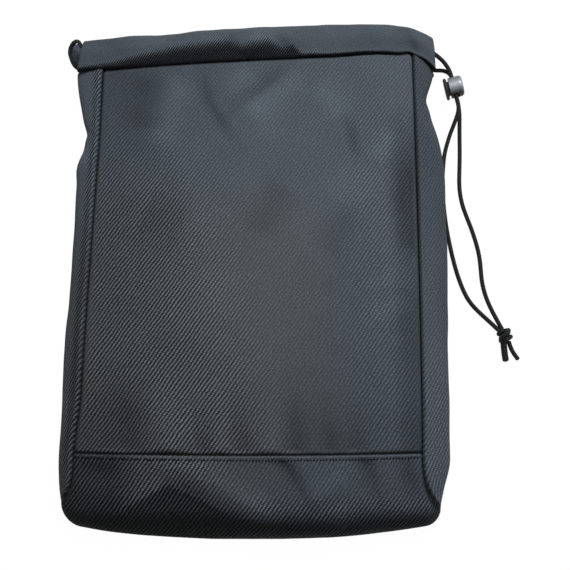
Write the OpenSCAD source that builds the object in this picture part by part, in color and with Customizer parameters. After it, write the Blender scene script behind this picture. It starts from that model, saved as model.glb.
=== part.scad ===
// Drawstring shoe bag, empty, lying on its back with its front panel up.
// The mouth points along +Y and the origin is under the middle of the bag.

/* [Bag] */
// Length of the laid-flat bag, from the base to the top of the collar
bag_l = 380; // [300:1:460]
// Width of the front and back panels between the side seams
panel_w = 232; // [190:1:300]
// Height of the front panel's side seams above the surface
seam_h = 30; // [24:1:60]
// Rise of the front panel's middle above its side seams
crown = 8; // [0:1:16]
// Thickness of the backed twill
fabric_t = 1; // [0.6:0.1:1.4]
// Length of the base wrap on the front, and again on the back
band_l = 54; // [36:1:90]
// Height of the furthest point of the base
end_h = 9; // [6:0.5:14]
// Length of the rounding under the base
under_r = 14; // [8:1:24]
// How far the line of the base rises towards its corners
end_rise = 9; // [0:0.5:16]
// Radius of the base corners seen from above
corner_r = 14; // [6:1:24]
// How far the base corners spread past the panel edges
corner_out = 12; // [2:1:14]
// Distance of the slack cloth in the base from its middle, to the left
slack_in = 46; // [0:1:60]
// Half width of the slack cloth in the base
slack_w = 40; // [20:1:60]
// Height of the front panel's highest folds
fold_h = 2.6; // [0:0.1:4]

/* [Gussets] */
// Stand-out of both gussets past the panel edge at the band seam
gusset_band = 18; // [8:1:30]
// Stand-out of the left gusset at mid length
gusset_left = 17; // [8:1:30]
// Stand-out of the right gusset at mid length
gusset_right = 24; // [8:1:30]
// Stand-out of both gussets where they fold in below the collar
gusset_neck = 13; // [8:1:24]
// Distance of the left fold below the collar
neck_left = 60; // [30:1:70]
// Distance of the right fold below the collar
neck_right = 30; // [20:1:60]

/* [Collar] */
// Width of each drawstring casing, from its seam to its fold
collar_l = 26; // [18:1:36]
// Thickness of a casing over its cord
casing_d = 9; // [8:0.5:14]
// Height of the gap between the two casings at the middle of the mouth
mouth_gap = 6.5; // [5:0.5:30]
// Drop of the front casing towards its ends
collar_droop = 5.5; // [0:0.5:6]
// Distance of the collar's highest point from the right edge of the bag
collar_peak_in = 55; // [30:1:100]
// How much lower the left end of the collar lies
dip_left = 12.5; // [0:0.5:24]
// How much lower the right end of the collar lies
dip_right = 13; // [0:0.5:24]
// Distance of the casings' left mouths from the left edge of the bag
casing_left_in = 7.5; // [2:0.5:20]
// Distance of the casings' right mouths from the right edge of the bag
casing_right_in = 3; // [1:0.5:20]

/* [Seam bindings] */
// Width of the folded binding tape
binding_w = 8; // [5:0.5:10]
// Thickness of the bound seam
binding_t = 2; // [1.2:0.1:3]

/* [Drawcord] */
// Diameter of the cord
cord_d = 3.2; // [2.4:0.1:3.6]
// Greatest diameter of the end knot
knot_d = 10; // [8:0.5:13]
// Length of the end knot
knot_l = 12; // [9:0.5:16]

/* [Cord lock] */
// Outer diameter of the barrel
barrel_d = 16; // [14:0.5:18]
// Thickness of the barrel's closed end
barrel_end_t = 1.2; // [0.8:0.1:1.6]
// Radius of the rounding on the barrel's closed end
barrel_round = 2.5; // [1:0.1:3]
// Diameter of the plunger that slides in the barrel
plunger_d = 11.2; // [10.6:0.1:12]
// Diameter of the button flange
flange_d = 17; // [15:0.5:20]
// Thickness of the button flange
flange_t = 2.4; // [1.6:0.1:4]
// Travel of the button
press_travel = 1.2; // [1:0.1:2]
// Distance of the cord slot from the barrel's open end
slot_inset = 1.6; // [1:0.1:2]
// Wall of the plunger behind its slot
plunger_end_t = 1; // [0.8:0.1:1.4]
// Outer diameter of the spring
spring_d = 7; // [5:0.1:8]
// Diameter of the spring wire
wire_d = 0.5; // [0.3:0.05:0.6]
// Number of turns of the spring
spring_turns = 2; // [1.5:0.5:2.5]
// Angle of the lock about the vertical
lock_turn = 10; // [0:1:20]
// Angle by which the cord holds the barrel's closed end up
lock_roll = 15; // [0:1:20]

/* [Fits] */
// Radial clearance of the plunger in the barrel
plunger_gap = 0.1; // [0.05:0.05:0.2]
// Clearance around the cord in the lock
cord_gap = 0.3; // [0.2:0.05:0.5]
// Room left behind and in front of the fully pressed button
press_gap = 0.2; // [0.1:0.05:0.4]
// Gap between pieces that are sewn edge to edge or lie on each other
seam_gap = 0.25; // [0.1:0.05:0.4]
// Height of the cord and the lock above the surface
rest_gap = 0.1; // [0.1:0.1:0.3]

/* [Hidden] */
$fn = 48;

twill = "#3a4046";
lining_tape = "#202326";
cord_black = "#1b1d1d";
lock_grey = "#5a5e66";
button_black = "#16171a";
spring_steel = "#b9bcc0";

// Grid counts of the sewn sheets
panel_cols = 26;
panel_rows = 20;
wrap_rows = 9;
gusset_cols = 6;
casing_rings = 20;
casing_sides = 16;
cord_sides = 8;
binding_rows = 12;

half_panel = panel_w / 2;
gusset_mouth = max(gusset_left, gusset_right, gusset_band, gusset_neck);
half_bag = half_panel + gusset_mouth;
base_y = -bag_l / 2;
top_y = bag_l / 2;
band_y = base_y + band_l;
crown_power = 3;
wrap_full = 0.72;
wrap_slack = 1.3;
end_power = 3;
gusset_end_power = 1.7;
dip_left_power = 1.5;
dip_right_power = 4;
collar_peak = half_bag - collar_peak_in;
casing_left = half_bag - casing_left_in;
casing_right = half_bag - casing_right_in;

// The collar's line across the bag

function collar_dip(x) = x < collar_peak
  ? dip_left * pow((collar_peak - x) / (collar_peak + half_bag), dip_left_power)
  : dip_right * pow((x - collar_peak) / collar_peak_in, dip_right_power);
function casing_y(x) = top_y - collar_l / 2 - collar_dip(x);
function edge_y(x) = casing_y(x) - collar_l / 2 - seam_gap;
function front_casing_z(x) =
  casing_d + mouth_gap + casing_d / 2 - collar_droop * pow(abs(x) / half_bag, crown_power);
back_casing_z = casing_d / 2;

// The outer face of the bag at inset 0, and its inner face at inset fabric_t

function mix(a, b, t) = a + (b - a) * t;
function rise(v) = sin(90 * (1 - v));
function seam_z(v) = mix(front_casing_z(half_panel) + fabric_t / 2, seam_h, rise(v));
function crown_z(v) = mix(front_casing_z(0) - front_casing_z(half_panel), crown, rise(v));
function crown_at(across) = 1 - pow(abs(across), crown_power);

// Folds that the bag keeps from being put away, with both ends as shares across and along the panel,
// then the height as a share of fold_h, below 0 in a hollow, and the half width
front_folds = [
  [[-0.34, 0.97], [-0.58, 0.68], 1, 13],
  [[-0.55, 0.96], [-0.72, 0.8], -0.7, 12],
  [[-0.33, 0.95], [-0.21, 0.8], -0.9, 9],
  [[0.06, 0.98], [-0.16, 0.87], 1, 9],
  [[0.18, 0.94], [-0.12, 0.75], -1, 8],
  [[0.31, 0.94], [-0.02, 0.76], 0.9, 10],
  [[0.48, 0.93], [0.49, 0.84], 0.6, 15],
  [[0.91, 0.77], [0.91, 0.46], -0.6, 9]
];
seam_calm = 12;
panel_l = top_y - collar_l - band_y;
function sum(list) = list * [for (item = list) 1];
function on_panel(share) = [share[0] * half_panel, share[1] * panel_l];
function to_line(p, a, b) = norm(p - mix(a, b, max(0, min(1, (p - a) * (b - a) / ((b - a) * (b - a))))));
function calm(across, v) =
  min(1, (1 - abs(across)) * half_panel / seam_calm) * min(1, min(v, 1 - v) * panel_l / seam_calm);
function fold_z(across, v) = fold_h * calm(across, v) * sum([for (f = front_folds)
  f[2] * exp(-pow(to_line(on_panel([across, v]), on_panel(f[0]), on_panel(f[1])) / f[3], 2))]);

function front_point(across, v, inset) = [
  across * (half_panel - inset),
  mix(band_y, edge_y(across * half_panel), v),
  seam_z(v) - inset + crown_z(v) * crown_at(across) + fold_z(across, v)
];

// q runs from 0 at the front band seam over the base at 1 to the back band seam at 2,
// in rows that are closer at both ends. Slack cloth sinks between the band seam and the base.
function ease(t) = (1 - cos(180 * t)) / 2;
function wrap_q(r) = ease(r / wrap_rows);
function wrap_half(q) = half_panel + corner_out * pow(sin(90 * q), 2);
function corner_turn(across) =
  let (half = half_panel + corner_out, t = max(0, 1 - (1 - abs(across)) * half / corner_r))
  corner_r * (1 - sqrt(1 - t * t));
function wrap_end_y(across, inset) =
  base_y + inset + end_rise * pow(abs(across), end_power) + corner_turn(across);
function wrap_power(across) =
  mix(wrap_full, wrap_slack, exp(-pow((across * half_panel + slack_in) / slack_w, 2)));
function over_point(across, q, inset) = [
  across * (wrap_half(q) - inset),
  mix(band_y, wrap_end_y(across, inset), pow(sin(90 * q), wrap_power(across))),
  mix(end_h, seam_h - inset + crown * crown_at(across), pow(cos(90 * q), wrap_power(across)))
];
function under_point(across, q, inset) =
  let (turn = min(180 * (q - 1), 90), flat = max(2 * (q - 1) - 1, 0), end_y = wrap_end_y(across, inset))
  [
    across * (wrap_half(q) - inset * (1 - flat)),
    mix(end_y + (under_r - inset) * (1 - cos(turn)), band_y, flat),
    inset + (end_h - inset) * (1 - sin(turn))
  ];
function wrap_point(across, q, inset) = q <= 1 ? over_point(across, q, inset) : under_point(across, q, inset);

// Stand-out of a gusset along the bag, eased between its stations
function between(stations, v, i = 0) =
  i >= len(stations) - 2 || v <= stations[i + 1][0]
    ? mix(stations[i][1], stations[i + 1][1],
        ease((v - stations[i][0]) / (stations[i + 1][0] - stations[i][0])))
    : between(stations, v, i + 1);
function gusset_stations(side) =
  let (body_l = edge_y(side * half_panel) - band_y, neck = side < 0 ? neck_left : neck_right,
       middle = side < 0 ? gusset_left : gusset_right)
  [[0, gusset_band], [0.5, middle], [1 - 2 * neck / body_l, middle], [1 - neck / body_l, gusset_neck],
   [1, gusset_mouth]];
function gusset_out(side, v) = between(gusset_stations(side), v);

// s runs from 0 at the front seam round the outside to 1 at the back seam
function fold_in(s) = s < 0.5 ? 1 : sin(180 * s);
function gusset_body_point(side, s, v, inset) =
  let (x = half_panel + gusset_out(side, v) * sin(180 * s))
  [
    side * (x - inset * fold_in(s)),
    mix(band_y, edge_y(side * x), v),
    mix(seam_z(v) - inset, inset, s)
  ];
function gusset_wrap_point(side, s, q, inset) =
  let (front = over_point(side, q, inset), back = under_point(side, 2 - q, inset))
  mix(front, back, s)
    + [side * gusset_band * (1 - pow(sin(90 * q), gusset_end_power)) * sin(180 * s), 0, 0];

// Closed solids from rows of points

function flat_list(rows) = [for (row = rows) each row];
function strip(a, b) = [[a[0], a[1], b[1]], [a[0], b[1], b[0]]];
function loop_sides(first, second, n) =
  [for (i = [0:n - 1]) each strip([second + i, second + (i + 1) % n], [first + i, first + (i + 1) % n])];

// A sheet between two grids of points with the same rows and columns
module sheet(outer, inner) {
  rows = len(outer);
  cols = len(outer[0]);
  inner_start = rows * cols;
  function at(r, c) = r * cols + c;
  skin = [for (r = [0:rows - 2], c = [0:cols - 2])
    each strip([at(r, c), at(r, c + 1)], [at(r + 1, c), at(r + 1, c + 1)])];
  rim = concat(
    [for (c = [0:cols - 1]) at(0, c)],
    [for (r = [1:rows - 1]) at(r, cols - 1)],
    [for (c = [cols - 2:-1:0]) at(rows - 1, c)],
    [for (r = [rows - 2:-1:1]) at(r, 0)]);
  edges = [for (i = [0:len(rim) - 1]) let (a = rim[i], b = rim[(i + 1) % len(rim)])
    each strip([b, a], [b + inner_start, a + inner_start])];
  polyhedron(
    concat(flat_list(outer), flat_list(inner)),
    concat(
      [for (f = skin) [f[2], f[1], f[0]]],
      [for (f = skin) [f[0] + inner_start, f[1] + inner_start, f[2] + inner_start]],
      [for (f = edges) [f[2], f[1], f[0]]]));
}

// A solid swept through rings of points
module swept(rings) {
  n = len(rings[0]);
  last = (len(rings) - 1) * n;
  polyhedron(
    flat_list(rings),
    concat(
      [for (r = [0:len(rings) - 2]) each loop_sides(r * n, (r + 1) * n, n)],
      [for (i = [1:n - 2]) [0, i, i + 1]],
      [for (i = [1:n - 2]) [last, last + i + 1, last + i]]));
}

// A tube with a bore, swept through outer and inner rings
module sleeve(outer, inner) {
  n = len(outer[0]);
  count = len(outer);
  start = count * n;
  last = (count - 1) * n;
  function turned(faces) = [for (f = faces) [f[2], f[1], f[0]]];
  walls = [for (r = [0:count - 2]) each loop_sides(r * n, (r + 1) * n, n)];
  polyhedron(
    concat(flat_list(outer), flat_list(inner)),
    concat(
      walls,
      [for (f = turned(walls)) [f[0] + start, f[1] + start, f[2] + start]],
      turned(loop_sides(0, start, n)),
      loop_sides(last, start + last, n)));
}

// Round tubes along a route

function unit(v) = v / norm(v);
function tangent(route, i) = unit(route[min(i + 1, len(route) - 1)] - route[max(i - 1, 0)]);
function square_to(v, along) = unit(v - (v * along) * along);
function sides_of(route) = [
  for (i = 0, side = square_to([0, 0, 1], tangent(route, 0)); i < len(route); i = i + 1,
       side = square_to(side, tangent(route, min(i, len(route) - 1)))) side];
function tube_rings(route, r, n) =
  let (sides = sides_of(route))
  [for (i = [0:len(route) - 1])
    let (along = tangent(route, i), side = square_to(sides[i], along), other = cross(along, side))
    [for (k = [0:n - 1]) route[i] + r * (cos(360 * k / n) * side + sin(360 * k / n) * other)]];

// A stretch of cord. Where it goes on in another stretch, the next point of that one sets how the end is cut.
module cord(points, before = [], after = []) {
  rings = tube_rings(concat(before, points, after), cord_d / 2, cord_sides);
  swept([for (i = [0:len(points) - 1]) rings[len(before) + i]]);
}

// Sewn fabric

// Columns are closer at the side seams, and rows near the collar
edge_crowd = 0.6;
function crowded(t) = mix(t, sin(90 * t), edge_crowd);
function across_at(c) = crowded(2 * c / panel_cols - 1);
function panel_v(r) = crowded(r / panel_rows);
function front_row(v, inset) = [for (c = [0:panel_cols]) front_point(across_at(c), v, inset)];

module front_panel() {
  color(twill) sheet(
    [for (r = [0:panel_rows]) front_row(panel_v(r), 0)],
    [for (r = [0:panel_rows]) front_row(panel_v(r), fabric_t)]);
}

module back_panel() {
  xs = [for (c = [panel_cols:-1:0]) half_panel * across_at(c)];
  color(twill) linear_extrude(fabric_t)
    polygon(concat([[-half_panel, band_y], [half_panel, band_y]], [for (x = xs) [x, edge_y(x)]]));
}

module base_wrap() {
  steps = concat([for (r = [0:wrap_rows - 1]) wrap_q(r)], [for (r = [wrap_rows:-1:0]) 2 - wrap_q(r)]);
  function grid(inset) =
    [for (q = steps) [for (c = [0:panel_cols]) wrap_point(across_at(c), q, inset)]];
  color(twill) sheet_turned(grid(0), grid(fabric_t));
}

// The same sheet with its rows in the other order, so that its outer face stays outside
module sheet_turned(outer, inner) {
  function turned(rows) = [for (r = [len(rows) - 1:-1:0]) rows[r]];
  sheet(turned(outer), turned(inner));
}

module gusset(side) {
  function grid(inset) = concat(
    [for (r = [panel_rows:-1:0]) [for (c = [0:gusset_cols])
      gusset_body_point(side, c / gusset_cols, panel_v(r), inset)]],
    [for (r = [1:wrap_rows - 1]) [for (c = [0:gusset_cols])
      gusset_wrap_point(side, c / gusset_cols, wrap_q(r), inset)]]);
  if (side > 0) sheet_turned(grid(0), grid(fabric_t));
  else sheet(grid(0), grid(fabric_t));
}

module left_gusset() { color(twill) gusset(-1); }

module right_gusset() { color(twill) gusset(1); }

// A casing is a flat tube whose oval follows the collar's line
function oval(x, z, inset) = [for (k = [0:casing_sides - 1])
  let (turn = 360 * k / casing_sides)
  [x, casing_y(x) + (collar_l / 2 - inset) * cos(turn), z + (casing_d / 2 - inset) * sin(turn)]];

module front_casing() {
  xs = [for (i = [0:casing_rings]) mix(-casing_left, casing_right, i / casing_rings)];
  color(twill) sleeve(
    [for (x = xs) oval(x, front_casing_z(x), 0)],
    [for (x = xs) oval(x, front_casing_z(x), fabric_t)]);
}

module back_casing() {
  xs = [for (i = [0:casing_rings]) mix(-casing_left, casing_right, i / casing_rings)];
  color(twill) sleeve(
    [for (x = xs) oval(x, back_casing_z, 0)],
    [for (x = xs) oval(x, back_casing_z, fabric_t)]);
}

// Bound seam allowances stand inward from the side seams
binding_ends = [0.03, 0.97];
front_lean = -105;
back_lean = 95;
front_seam_point = function (side, v) front_point(side, v, fabric_t);
back_seam_point = function (side, v) gusset_body_point(side, 1, v, fabric_t);

module binding(side, foot, lean) {
  across = [side * cos(lean), 0, sin(lean)];
  thick = [-sin(lean), 0, side * cos(lean)];
  rings = [for (r = [0:binding_rows])
    let (p = foot(side, mix(binding_ends[0], binding_ends[1], r / binding_rows)) + seam_gap * across)
    [for (corner = [[0, -1], [0, 1], [1, 1], [1, -1]])
      p + (binding_t / 2 + corner[0] * binding_w) * across + corner[1] * binding_t / 2 * thick]];
  color(lining_tape) swept(rings);
}

module front_left_binding() { binding(-1, front_seam_point, front_lean); }

module front_right_binding() { binding(1, front_seam_point, front_lean); }

module back_left_binding() { binding(-1, back_seam_point, back_lean); }

module back_right_binding() { binding(1, back_seam_point, back_lean); }

// The drawcord: one cord, drawn as the runs in the casings, the loop between them and two tails

cord_r = cord_d / 2;
// Route points are given from the top corners of the bag, at the height of a cord lying on the surface
right_corner = [half_bag, top_y, cord_r + rest_gap];
left_corner = [-half_bag, top_y, cord_r + rest_gap];
front_run_shift = 5;
back_run_shift = -4;
run_gap = 0.5;
run_drop = casing_d / 2 - fabric_t - cord_r - run_gap;
loop_lead = 5.5;
tail_lead = 1;
left_run_x = -casing_left + loop_lead;
right_run_x = casing_right - tail_lead;
function front_run_point(x) = [x, casing_y(x) + front_run_shift, front_casing_z(x) - run_drop];
function back_run_point(x) = [x, casing_y(x) + back_run_shift, back_casing_z - run_drop];

run_points = 10;
run_xs = [for (i = [0:run_points]) mix(left_run_x, right_run_x, i / run_points)];
front_run = [for (x = run_xs) front_run_point(x)];
back_run = [for (x = run_xs) back_run_point(x)];

// Loop between the casings' left mouths
loop_points = [
  [7.2, -18, 13], [3.9, -13.7, 13.9], [2.1, -10.5, 12.6], [-0.9, -8.9, 10.4], [-4, -9.6, 7.7],
  [-6.1, -12.4, 5.6], [-6.4, -16.4, 4.6], [-4.9, -20.7, 4.5], [-3.1, -25.1, 3.8], [0.3, -28.1, 2.7],
  [5.4, -28.7, 2.2]
];
loop = [for (p = loop_points) left_corner + p];

module cord_left_loop() {
  color(cord_black)
    cord(concat([front_run[0]], loop, [back_run[0]]), before = [front_run[1]], after = [back_run[1]]);
}

// Lengths in the lock along its X, where the barrel starts at 0 and the button is pressed towards +X
strand_lift = cord_d / 2 + cord_gap / 3;
slot_w = cord_d + cord_gap + press_travel;
slot_h = slot_w + 2 * strand_lift;
cord_in_slot = slot_inset + (cord_d + cord_gap) / 2;
plunger_l = slot_inset - press_travel + slot_w + plunger_end_t;
spring_room = (spring_turns + 1) * wire_d + press_gap + press_travel;
bore_l = plunger_l + spring_room;
barrel_l = bore_l + barrel_end_t;
flange_gap = press_travel + press_gap;
flange_rim = flange_t / 3;

// The lock's place: it is rolled about the strands until its flange stands on the surface.
// Both strands run straight through it, one above the other as the lock sees them.
lock_low = flange_d / 2 * cos(lock_roll)
  + (cord_in_slot + flange_gap + flange_t - flange_rim) * sin(lock_roll);
lock_pos = [half_bag + 13.7, top_y - 47.4, lock_low + rest_gap];
straight_stretch = [-11.5, 2, 15.5];
function lock_point(along, lift) = lock_pos
  + along * [sin(lock_turn), -cos(lock_turn), 0]
  + lift * strand_lift * [-sin(lock_roll) * cos(lock_turn), -sin(lock_roll) * sin(lock_turn), cos(lock_roll)];

// From the casings' right mouths to the lock, and from the lock to the knot
front_exit_points = [[1, -22, 11.5], [4.6, -25.2, 11.2], [7.6, -29, 10.8], [10, -33, 10.2]];
front_tail_points = [
  [15.9, -67.5, 8.8], [14.5, -72.5, 6.6], [12.6, -77.5, 4], [10.6, -82.5, 1.7], [8.9, -87.5, 0.4],
  [7.5, -92, 0], [6.3, -96, 0], [4, -109, 0],
  [2.7, -124, 0], [2.7, -140, 0], [3.7, -156, 0], [6, -174, 0], [9.2, -191, 0], [13, -204.5, 0],
  [18, -215.5, 0], [25.5, -224.5, 0.1], [33, -232.5, 1.3], [37.4, -237.8, 3.1]
];
back_exit_points = [[0.6, -29.2, 1.7], [4.2, -29.8, 2.8], [7.6, -31, 4.4], [10.2, -33.3, 5.8]];
back_tail_points = [
  [17.4, -67.5, 5.4], [17.7, -72.5, 3.4], [17.8, -77.5, 1.5], [17.8, -82.5, 0.3], [17.6, -88, 0],
  [17.3, -95, 0], [16.2, -112, 0], [15.4, -127, 0],
  [17.2, -142, 0], [21.4, -156, 0], [25.2, -170, 0], [27.4, -184, 0], [28, -200, 0], [30.8, -214, 0],
  [34.8, -225, 0.9], [39.4, -236.4, 3.1]
];

front_exit = [for (p = front_exit_points) right_corner + p];
back_exit = [for (p = back_exit_points) right_corner + p];

module cord_front_run() {
  color(cord_black) cord(front_run, before = [loop[0]], after = [front_exit[0]]);
}

module cord_back_run() {
  color(cord_black) cord(back_run, before = [loop[len(loop) - 1]], after = [back_exit[0]]);
}

module cord_front_tail() {
  color(cord_black) cord(concat(
    [front_run[run_points]],
    front_exit,
    [for (along = straight_stretch) lock_point(along, 1)],
    [for (p = front_tail_points) right_corner + p]),
    before = [front_run[run_points - 1]]);
}

module cord_back_tail() {
  color(cord_black) cord(concat(
    [back_run[run_points]],
    back_exit,
    [for (along = straight_stretch) lock_point(along, -1)],
    [for (p = back_tail_points) right_corner + p]),
    before = [back_run[run_points - 1]]);
}

// The end knot is two wraps of the doubled cord round its own strands
knot_pos = [half_bag + 41.2, top_y - 241.6, knot_d / 2 + rest_gap];
knot_turn = -67;
knot_wrap_share = 0.27;
module cord_knot() {
  wrap_r = knot_wrap_share * knot_l;
  color(cord_black) translate(knot_pos) rotate([0, 0, knot_turn]) along_x()
    rotate_extrude($fn = 24) intersection() {
      union() {
        for (side = [-1, 1])
          translate([knot_d / 2 - wrap_r, side * (knot_l / 2 - wrap_r)]) circle(wrap_r, $fn = 24);
        translate([0, -knot_l / 2]) square([knot_d / 2 - wrap_r, knot_l]);
      }
      translate([0, -knot_l]) square([knot_d, 2 * knot_l]);
    }
}

front_end_points = [[40, -246.5, 2.3], [40.6, -251, 0.5], [41, -255.5, 0], [41.5, -260, 0]];
back_end_points = [[44, -245.6, 2.3], [45.6, -249.6, 0.5], [47.8, -254, 0], [50.8, -258.5, 0]];
module cord_front_end() {
  color(cord_black) cord([for (p = front_end_points) right_corner + p]);
}

module cord_back_end() {
  color(cord_black) cord([for (p = back_end_points) right_corner + p]);
}

// The cord lock: a barrel, a plunger with a button flange, and the spring between them

bore_r = plunger_d / 2 + plunger_gap;

module in_lock() {
  translate(lock_pos) rotate([0, -lock_roll, lock_turn]) translate([-cord_in_slot, 0, 0]) children();
}

module along_x() { rotate([0, 90, 0]) children(); }

// A slot with round ends through the lock, for the two strands one above the other
module cord_slot(start) {
  reach = flange_d;
  translate([start + slot_w / 2, 0, 0]) rotate([90, 0, 0]) {
    for (side = [-1, 1])
      translate([0, side * (slot_h - slot_w) / 2, 0]) cylinder(d = slot_w, h = reach, center = true);
    cube([slot_w, slot_h - slot_w, reach], center = true);
  }
}

module lock_barrel() {
  r = barrel_d / 2;
  color(lock_grey) in_lock() difference() {
    along_x() rotate_extrude() {
      square([r, barrel_l - barrel_round]);
      square([r - barrel_round, barrel_l]);
      intersection() {
        translate([r - barrel_round, barrel_l - barrel_round]) circle(barrel_round);
        translate([r - barrel_round, barrel_l - barrel_round]) square(barrel_round);
      }
    }
    along_x() translate([0, 0, -1]) cylinder(r = bore_r, h = bore_l + 1);
    cord_slot(slot_inset);
  }
}

module lock_button() {
  color(button_black) in_lock() difference() {
    along_x() {
      translate([0, 0, -flange_gap - flange_t]) rotate_extrude() polygon([
        [0, 0], [flange_d / 2 - flange_rim, 0], [flange_d / 2, flange_rim],
        [flange_d / 2, flange_t - flange_rim], [flange_d / 2 - flange_rim, flange_t], [0, flange_t]]);
      translate([0, 0, -flange_gap - flange_t / 2])
        cylinder(d = plunger_d, h = plunger_l + flange_gap + flange_t / 2);
    }
    cord_slot(slot_inset - press_travel);
  }
}

spring_sides = 6;
curl_rings = 8;
module lock_spring() {
  seat_gap = press_gap / 2;
  coil_l = spring_room - wire_d - 2 * seat_gap;
  coil_r = (spring_d - wire_d) / 2;
  steps = curl_rings * spring_turns;
  route = [for (i = [0:steps]) let (turn = 360 * i / curl_rings)
    [plunger_l + seat_gap + wire_d / 2 + coil_l * i / steps, coil_r * cos(turn), coil_r * sin(turn)]];
  next_turn = curl_rings / 2 + 1;
  turn_gap =
    min([for (i = [0:steps - next_turn], k = [i + next_turn:steps]) norm(route[k] - route[i])]) - wire_d;
  echo(str("least gap between the spring's turns, mm: ", turn_gap));
  color(spring_steel) in_lock() swept(tube_rings(route, wire_d / 2, spring_sides));
}

front_panel();
back_panel();
base_wrap();
left_gusset();
right_gusset();
front_casing();
back_casing();
front_left_binding();
front_right_binding();
back_left_binding();
back_right_binding();
cord_front_run();
cord_back_run();
cord_left_loop();
cord_front_tail();
cord_back_tail();
cord_knot();
cord_front_end();
cord_back_end();
lock_barrel();
lock_button();
lock_spring();
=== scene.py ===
"""Drawstring shoe bag, lying on its back with its front panel up.

The forms below are sized in millimetres, as the part's own sizes are, and every mesh is in metres.
"""

import logging
import math
from dataclasses import dataclass, field
from enum import Enum
from typing import Any, Sequence

import bmesh
import bpy
import numpy as np
from mathutils import Matrix, Vector, noise


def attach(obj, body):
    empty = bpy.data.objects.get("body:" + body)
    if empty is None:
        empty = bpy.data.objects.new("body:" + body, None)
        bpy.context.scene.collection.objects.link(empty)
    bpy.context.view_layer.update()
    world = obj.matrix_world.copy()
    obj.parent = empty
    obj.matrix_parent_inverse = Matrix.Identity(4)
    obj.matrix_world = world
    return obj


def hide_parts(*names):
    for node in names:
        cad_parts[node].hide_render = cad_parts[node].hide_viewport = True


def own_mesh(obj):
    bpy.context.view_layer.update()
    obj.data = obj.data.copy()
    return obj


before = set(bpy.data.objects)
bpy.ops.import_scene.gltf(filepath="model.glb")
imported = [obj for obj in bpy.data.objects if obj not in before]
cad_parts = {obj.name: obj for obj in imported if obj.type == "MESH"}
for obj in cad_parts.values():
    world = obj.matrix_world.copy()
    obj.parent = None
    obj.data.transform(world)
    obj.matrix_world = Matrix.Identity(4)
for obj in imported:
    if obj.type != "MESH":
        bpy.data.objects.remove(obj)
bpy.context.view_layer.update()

LOG = logging.getLogger("shoe_bag")
MM = 0.001
WEAVE = "weave"
# Light and shade painted into the cloth's colour at each point.
PAINTED_SHADE = "painted_fold_shade"
# How far the ribs stand out at each point, partly the weave's own contrast and partly painted light.
RIB_CONTRAST = "painted_rib_contrast"
TINT = "cloth_warmth"
WHITE = (1.0, 1.0, 1.0, 1.0)
Array = np.ndarray
Colour = tuple[float, float, float, float]
Point = tuple[float, float, float]
Line = Sequence[Sequence[float]]


class Body(str, Enum):
    """Bodies that new pieces ride on."""

    BAG = "bag"
    LOCK = "lock"


class Slot(str, Enum):
    """The record's material slots, named with new pieces but not given to them here."""

    TWILL = "twill"
    TAPE = "seam_tape"
    CORD = "drawcord"
    WIRE = "spring_wire"


class Side(int, Enum):
    """Which side of the bag a piece is on."""

    LEFT = -1
    RIGHT = 1

    @property
    def word(self) -> str:
        """The side as it stands in a piece's name."""
        return self.name.lower()


def half_word(front: bool) -> str:
    """Which half of the bag a piece is in, as it stands in the piece's name."""
    return "front" if front else "back"


def pair(left: float, right: float) -> Any:
    """A size that is not the same on the bag's two sides."""
    return field(default_factory=lambda: {Side.LEFT: left, Side.RIGHT: right})


@dataclass(frozen=True)
class LockPlace:
    """Where the cord lock sits on the two tails, and how it is turned."""

    middle: Point = (153.7, 142.6, 9.954)
    turn: float = 10.0
    roll: float = 15.0
    barrel_d: float = 16.0


LOCK = LockPlace()


# Shader maths


class Value:
    """A number socket that takes part in Python arithmetic."""

    def __init__(self, sheet: "NodeSheet", socket: bpy.types.NodeSocket) -> None:
        """Wraps one output socket of a sheet's nodes."""
        self.sheet = sheet
        self.socket = socket

    def output(self, name: str) -> "Value":
        """Another output of the same node."""
        return Value(self.sheet, self.socket.node.outputs[name])

    def math(self, operation: str, *others: Any) -> "Value":
        """Adds one Math node.

        Args:
            operation: the Math node's operation.
            others: further operands, numbers or values.

        Returns:
            The node's result.
        """
        sockets = {i: x for i, x in enumerate((self, *others))}
        return self.sheet.node("ShaderNodeMath", {"operation": operation}, sockets)

    def __add__(self, other: Any) -> "Value":
        """self + other."""
        return self.math("ADD", other)

    def __mul__(self, other: Any) -> "Value":
        """self * other."""
        return self.math("MULTIPLY", other)

    def __sub__(self, other: Any) -> "Value":
        """self - other."""
        return self.math("SUBTRACT", other)

    def __rsub__(self, other: float) -> "Value":
        """other - self."""
        return self * -1.0 + other

    def __truediv__(self, other: Any) -> "Value":
        """self / other."""
        return self.math("DIVIDE", other)

    def __pow__(self, other: Any) -> "Value":
        """self ** other."""
        return self.math("POWER", other)

    __radd__ = __add__
    __rmul__ = __mul__

    def wave(self) -> "Value":
        """A smooth wave from 0 to 1, once per whole number."""
        return (self * math.tau).math("COSINE") * 0.5 + 0.5


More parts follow.
